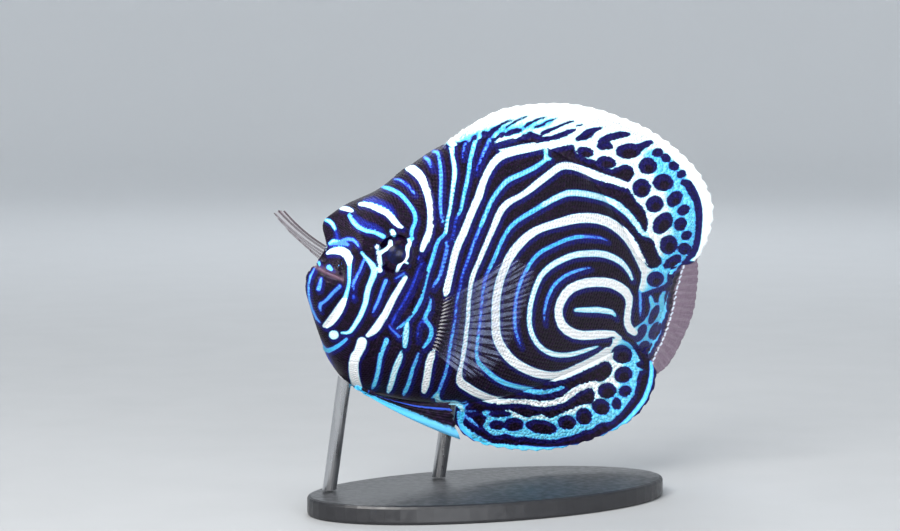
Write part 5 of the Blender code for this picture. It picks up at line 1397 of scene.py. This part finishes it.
def build_floor():
    """A round pale floor that turns up into a wall all round, outside the lamps and the camera. It is painted
    paler away from the fish, as painted light where the lamps' light falls off.
    """
    turn = np.linspace(0, 2 * math.pi, FLOOR_SIDES, endpoint=False)
    bend_up = np.linspace(0, math.pi / 2, 16)
    flat = np.linspace(1e-4, FLOOR_R, 20)[:-1]
    reach = np.r_[flat, FLOOR_R + FLOOR_BEND * np.sin(bend_up), FLOOR_R + FLOOR_BEND]
    level = np.r_[0 * flat, FLOOR_BEND * (1 - np.cos(bend_up)), FLOOR_WALL]
    points = np.stack([np.outer(reach, np.cos(turn)), np.outer(reach, np.sin(turn)),
                       np.outer(level, np.ones(FLOOR_SIDES))], axis=-1).reshape(-1, 3)
    mesh = bpy.data.meshes.new("floor")
    mesh.from_pydata(points.tolist(), [], grid_faces(len(reach), FLOOR_SIDES, True)[:, ::-1].tolist())
    mesh.shade_smooth()
    far = mesh.attributes.new("far", "FLOAT", "POINT")
    # far: how much paler the floor and wall are painted here, painted light for the lamps' falloff
    far.data.foreach_set("value", np.repeat(smooth_step(*FLOOR_PAINTED_LIGHT_REACH, reach + level), FLOOR_SIDES))
    paint = Paint("floor_paint")
    near = paint.mix(paint.noise(60.0, 4.0), *FLOOR_NEAR)
    paint.set(Base_Color=paint.mix(paint.attribute("far"), near, FLOOR_FAR), Roughness=0.8)
    mesh.materials.append(paint.material)
    made = bpy.data.objects.new("floor", mesh)
    bpy.context.scene.collection.objects.link(made)


def add_light(name, azimuth, elevation, distance, size, power, colour):
    a, e = math.radians(azimuth), math.radians(elevation)
    towards = Vector((math.sin(a) * math.cos(e), -math.cos(a) * math.cos(e), math.sin(e)))
    lamp = bpy.data.lights.new(name, "AREA")
    lamp.shape = "DISK"
    lamp.size = size
    lamp.energy = power
    lamp.color = colour
    made = bpy.data.objects.new(name, lamp)
    made.matrix_world = Matrix.Translation(Vector(POSE * MM) + towards * distance) @ (
        towards.to_track_quat("Z", "Y").to_matrix().to_4x4())
    bpy.context.scene.collection.objects.link(made)


def add_camera():
    right, up, back = camera_axes()
    camera = bpy.data.cameras.new("camera")
    camera.sensor_width = 36.0
    camera.lens = CAM_FOCAL / PHOTO_W * camera.sensor_width
    camera.clip_start = 0.01
    made = bpy.data.objects.new("camera", camera)
    turn = Matrix(np.stack([right, up, back], axis=1).tolist()).to_4x4()
    made.matrix_world = Matrix.Translation(Vector(camera_place() * MM)) @ turn
    bpy.context.scene.collection.objects.link(made)
    bpy.context.scene.camera = made


def set_world():
    world = bpy.data.worlds.new("studio")
    world.use_nodes = True
    backdrop = world.node_tree.nodes["Background"]
    backdrop.inputs["Color"].default_value = (*SKY, 1)
    backdrop.inputs["Strength"].default_value = SKY_POWER
    bpy.context.scene.world = world
    bpy.context.scene.view_settings.view_transform = "Standard"


build_skin(skin_paint("skin_paint"))
coat = skin_paint("scale_paint")
build_scales("scales_left", -1, coat)
build_scales("scales_right", 1, coat)
fin_paint = skin_paint("fin_paint", 0.65)
median_fin("dorsal", DORSAL_EDGE, DORSAL_ROOT, DORSAL_SPINES, DORSAL_RAYS, False, fin_paint)
median_fin("anal", ANAL_EDGE, ANAL_ROOT, ANAL_SPINES, ANAL_RAYS, True, fin_paint)
tail_fin(tail_paint())
near_pectoral = pectoral_paint("pectoral_paint", ray_colour=(0.03, 0.022, 0.06), ray_cover=0.12,
                               web_colour=(0.42, 0.50, 0.78), web_cover=0.095)
far_pectoral = pectoral_paint("far_pectoral_paint", ray_colour=(0.075, 0.03, 0.05), ray_cover=0.72,
                              web_colour=(0.55, 0.40, 0.46), web_cover=0.13)
pectoral_fin("pectoral_left", -1, LEFT_PECTORAL, 1.4, -0.9, PECTORAL_RAYS, near_pectoral)
pectoral_fin("pectoral_right", 1, RIGHT_PECTORAL, 0.0, 2.2, PECTORAL_BUNDLES, far_pectoral)
dark_pelvic, wet_eye = pelvic_paint(), eye_paint()
for flank, hand in (("left", -1), ("right", 1)):
    pelvic_fin("pelvic_" + flank, hand, dark_pelvic)
    build_eye("eye_" + flank, hand, wet_eye)
black = stand_paint("base_paint", (0.010, 0.010, 0.012), (0.022, 0.022, 0.025),
                    scale=900.0, stretch=None, rough=0.38, metal=0.0)
dress_node("stand_base", black)
steel = stand_paint("rod_paint", (0.42, 0.43, 0.45), (0.62, 0.63, 0.65),
                    scale=500.0, stretch=(1, 1, 0.05), rough=0.28, metal=1.0)
for rod in ("stand_rod_front", "stand_rod_rear"):
    dress_node(rod, steel)
build_floor()
for lamp in LAMPS:
    add_light(*lamp)
set_world()
add_camera()
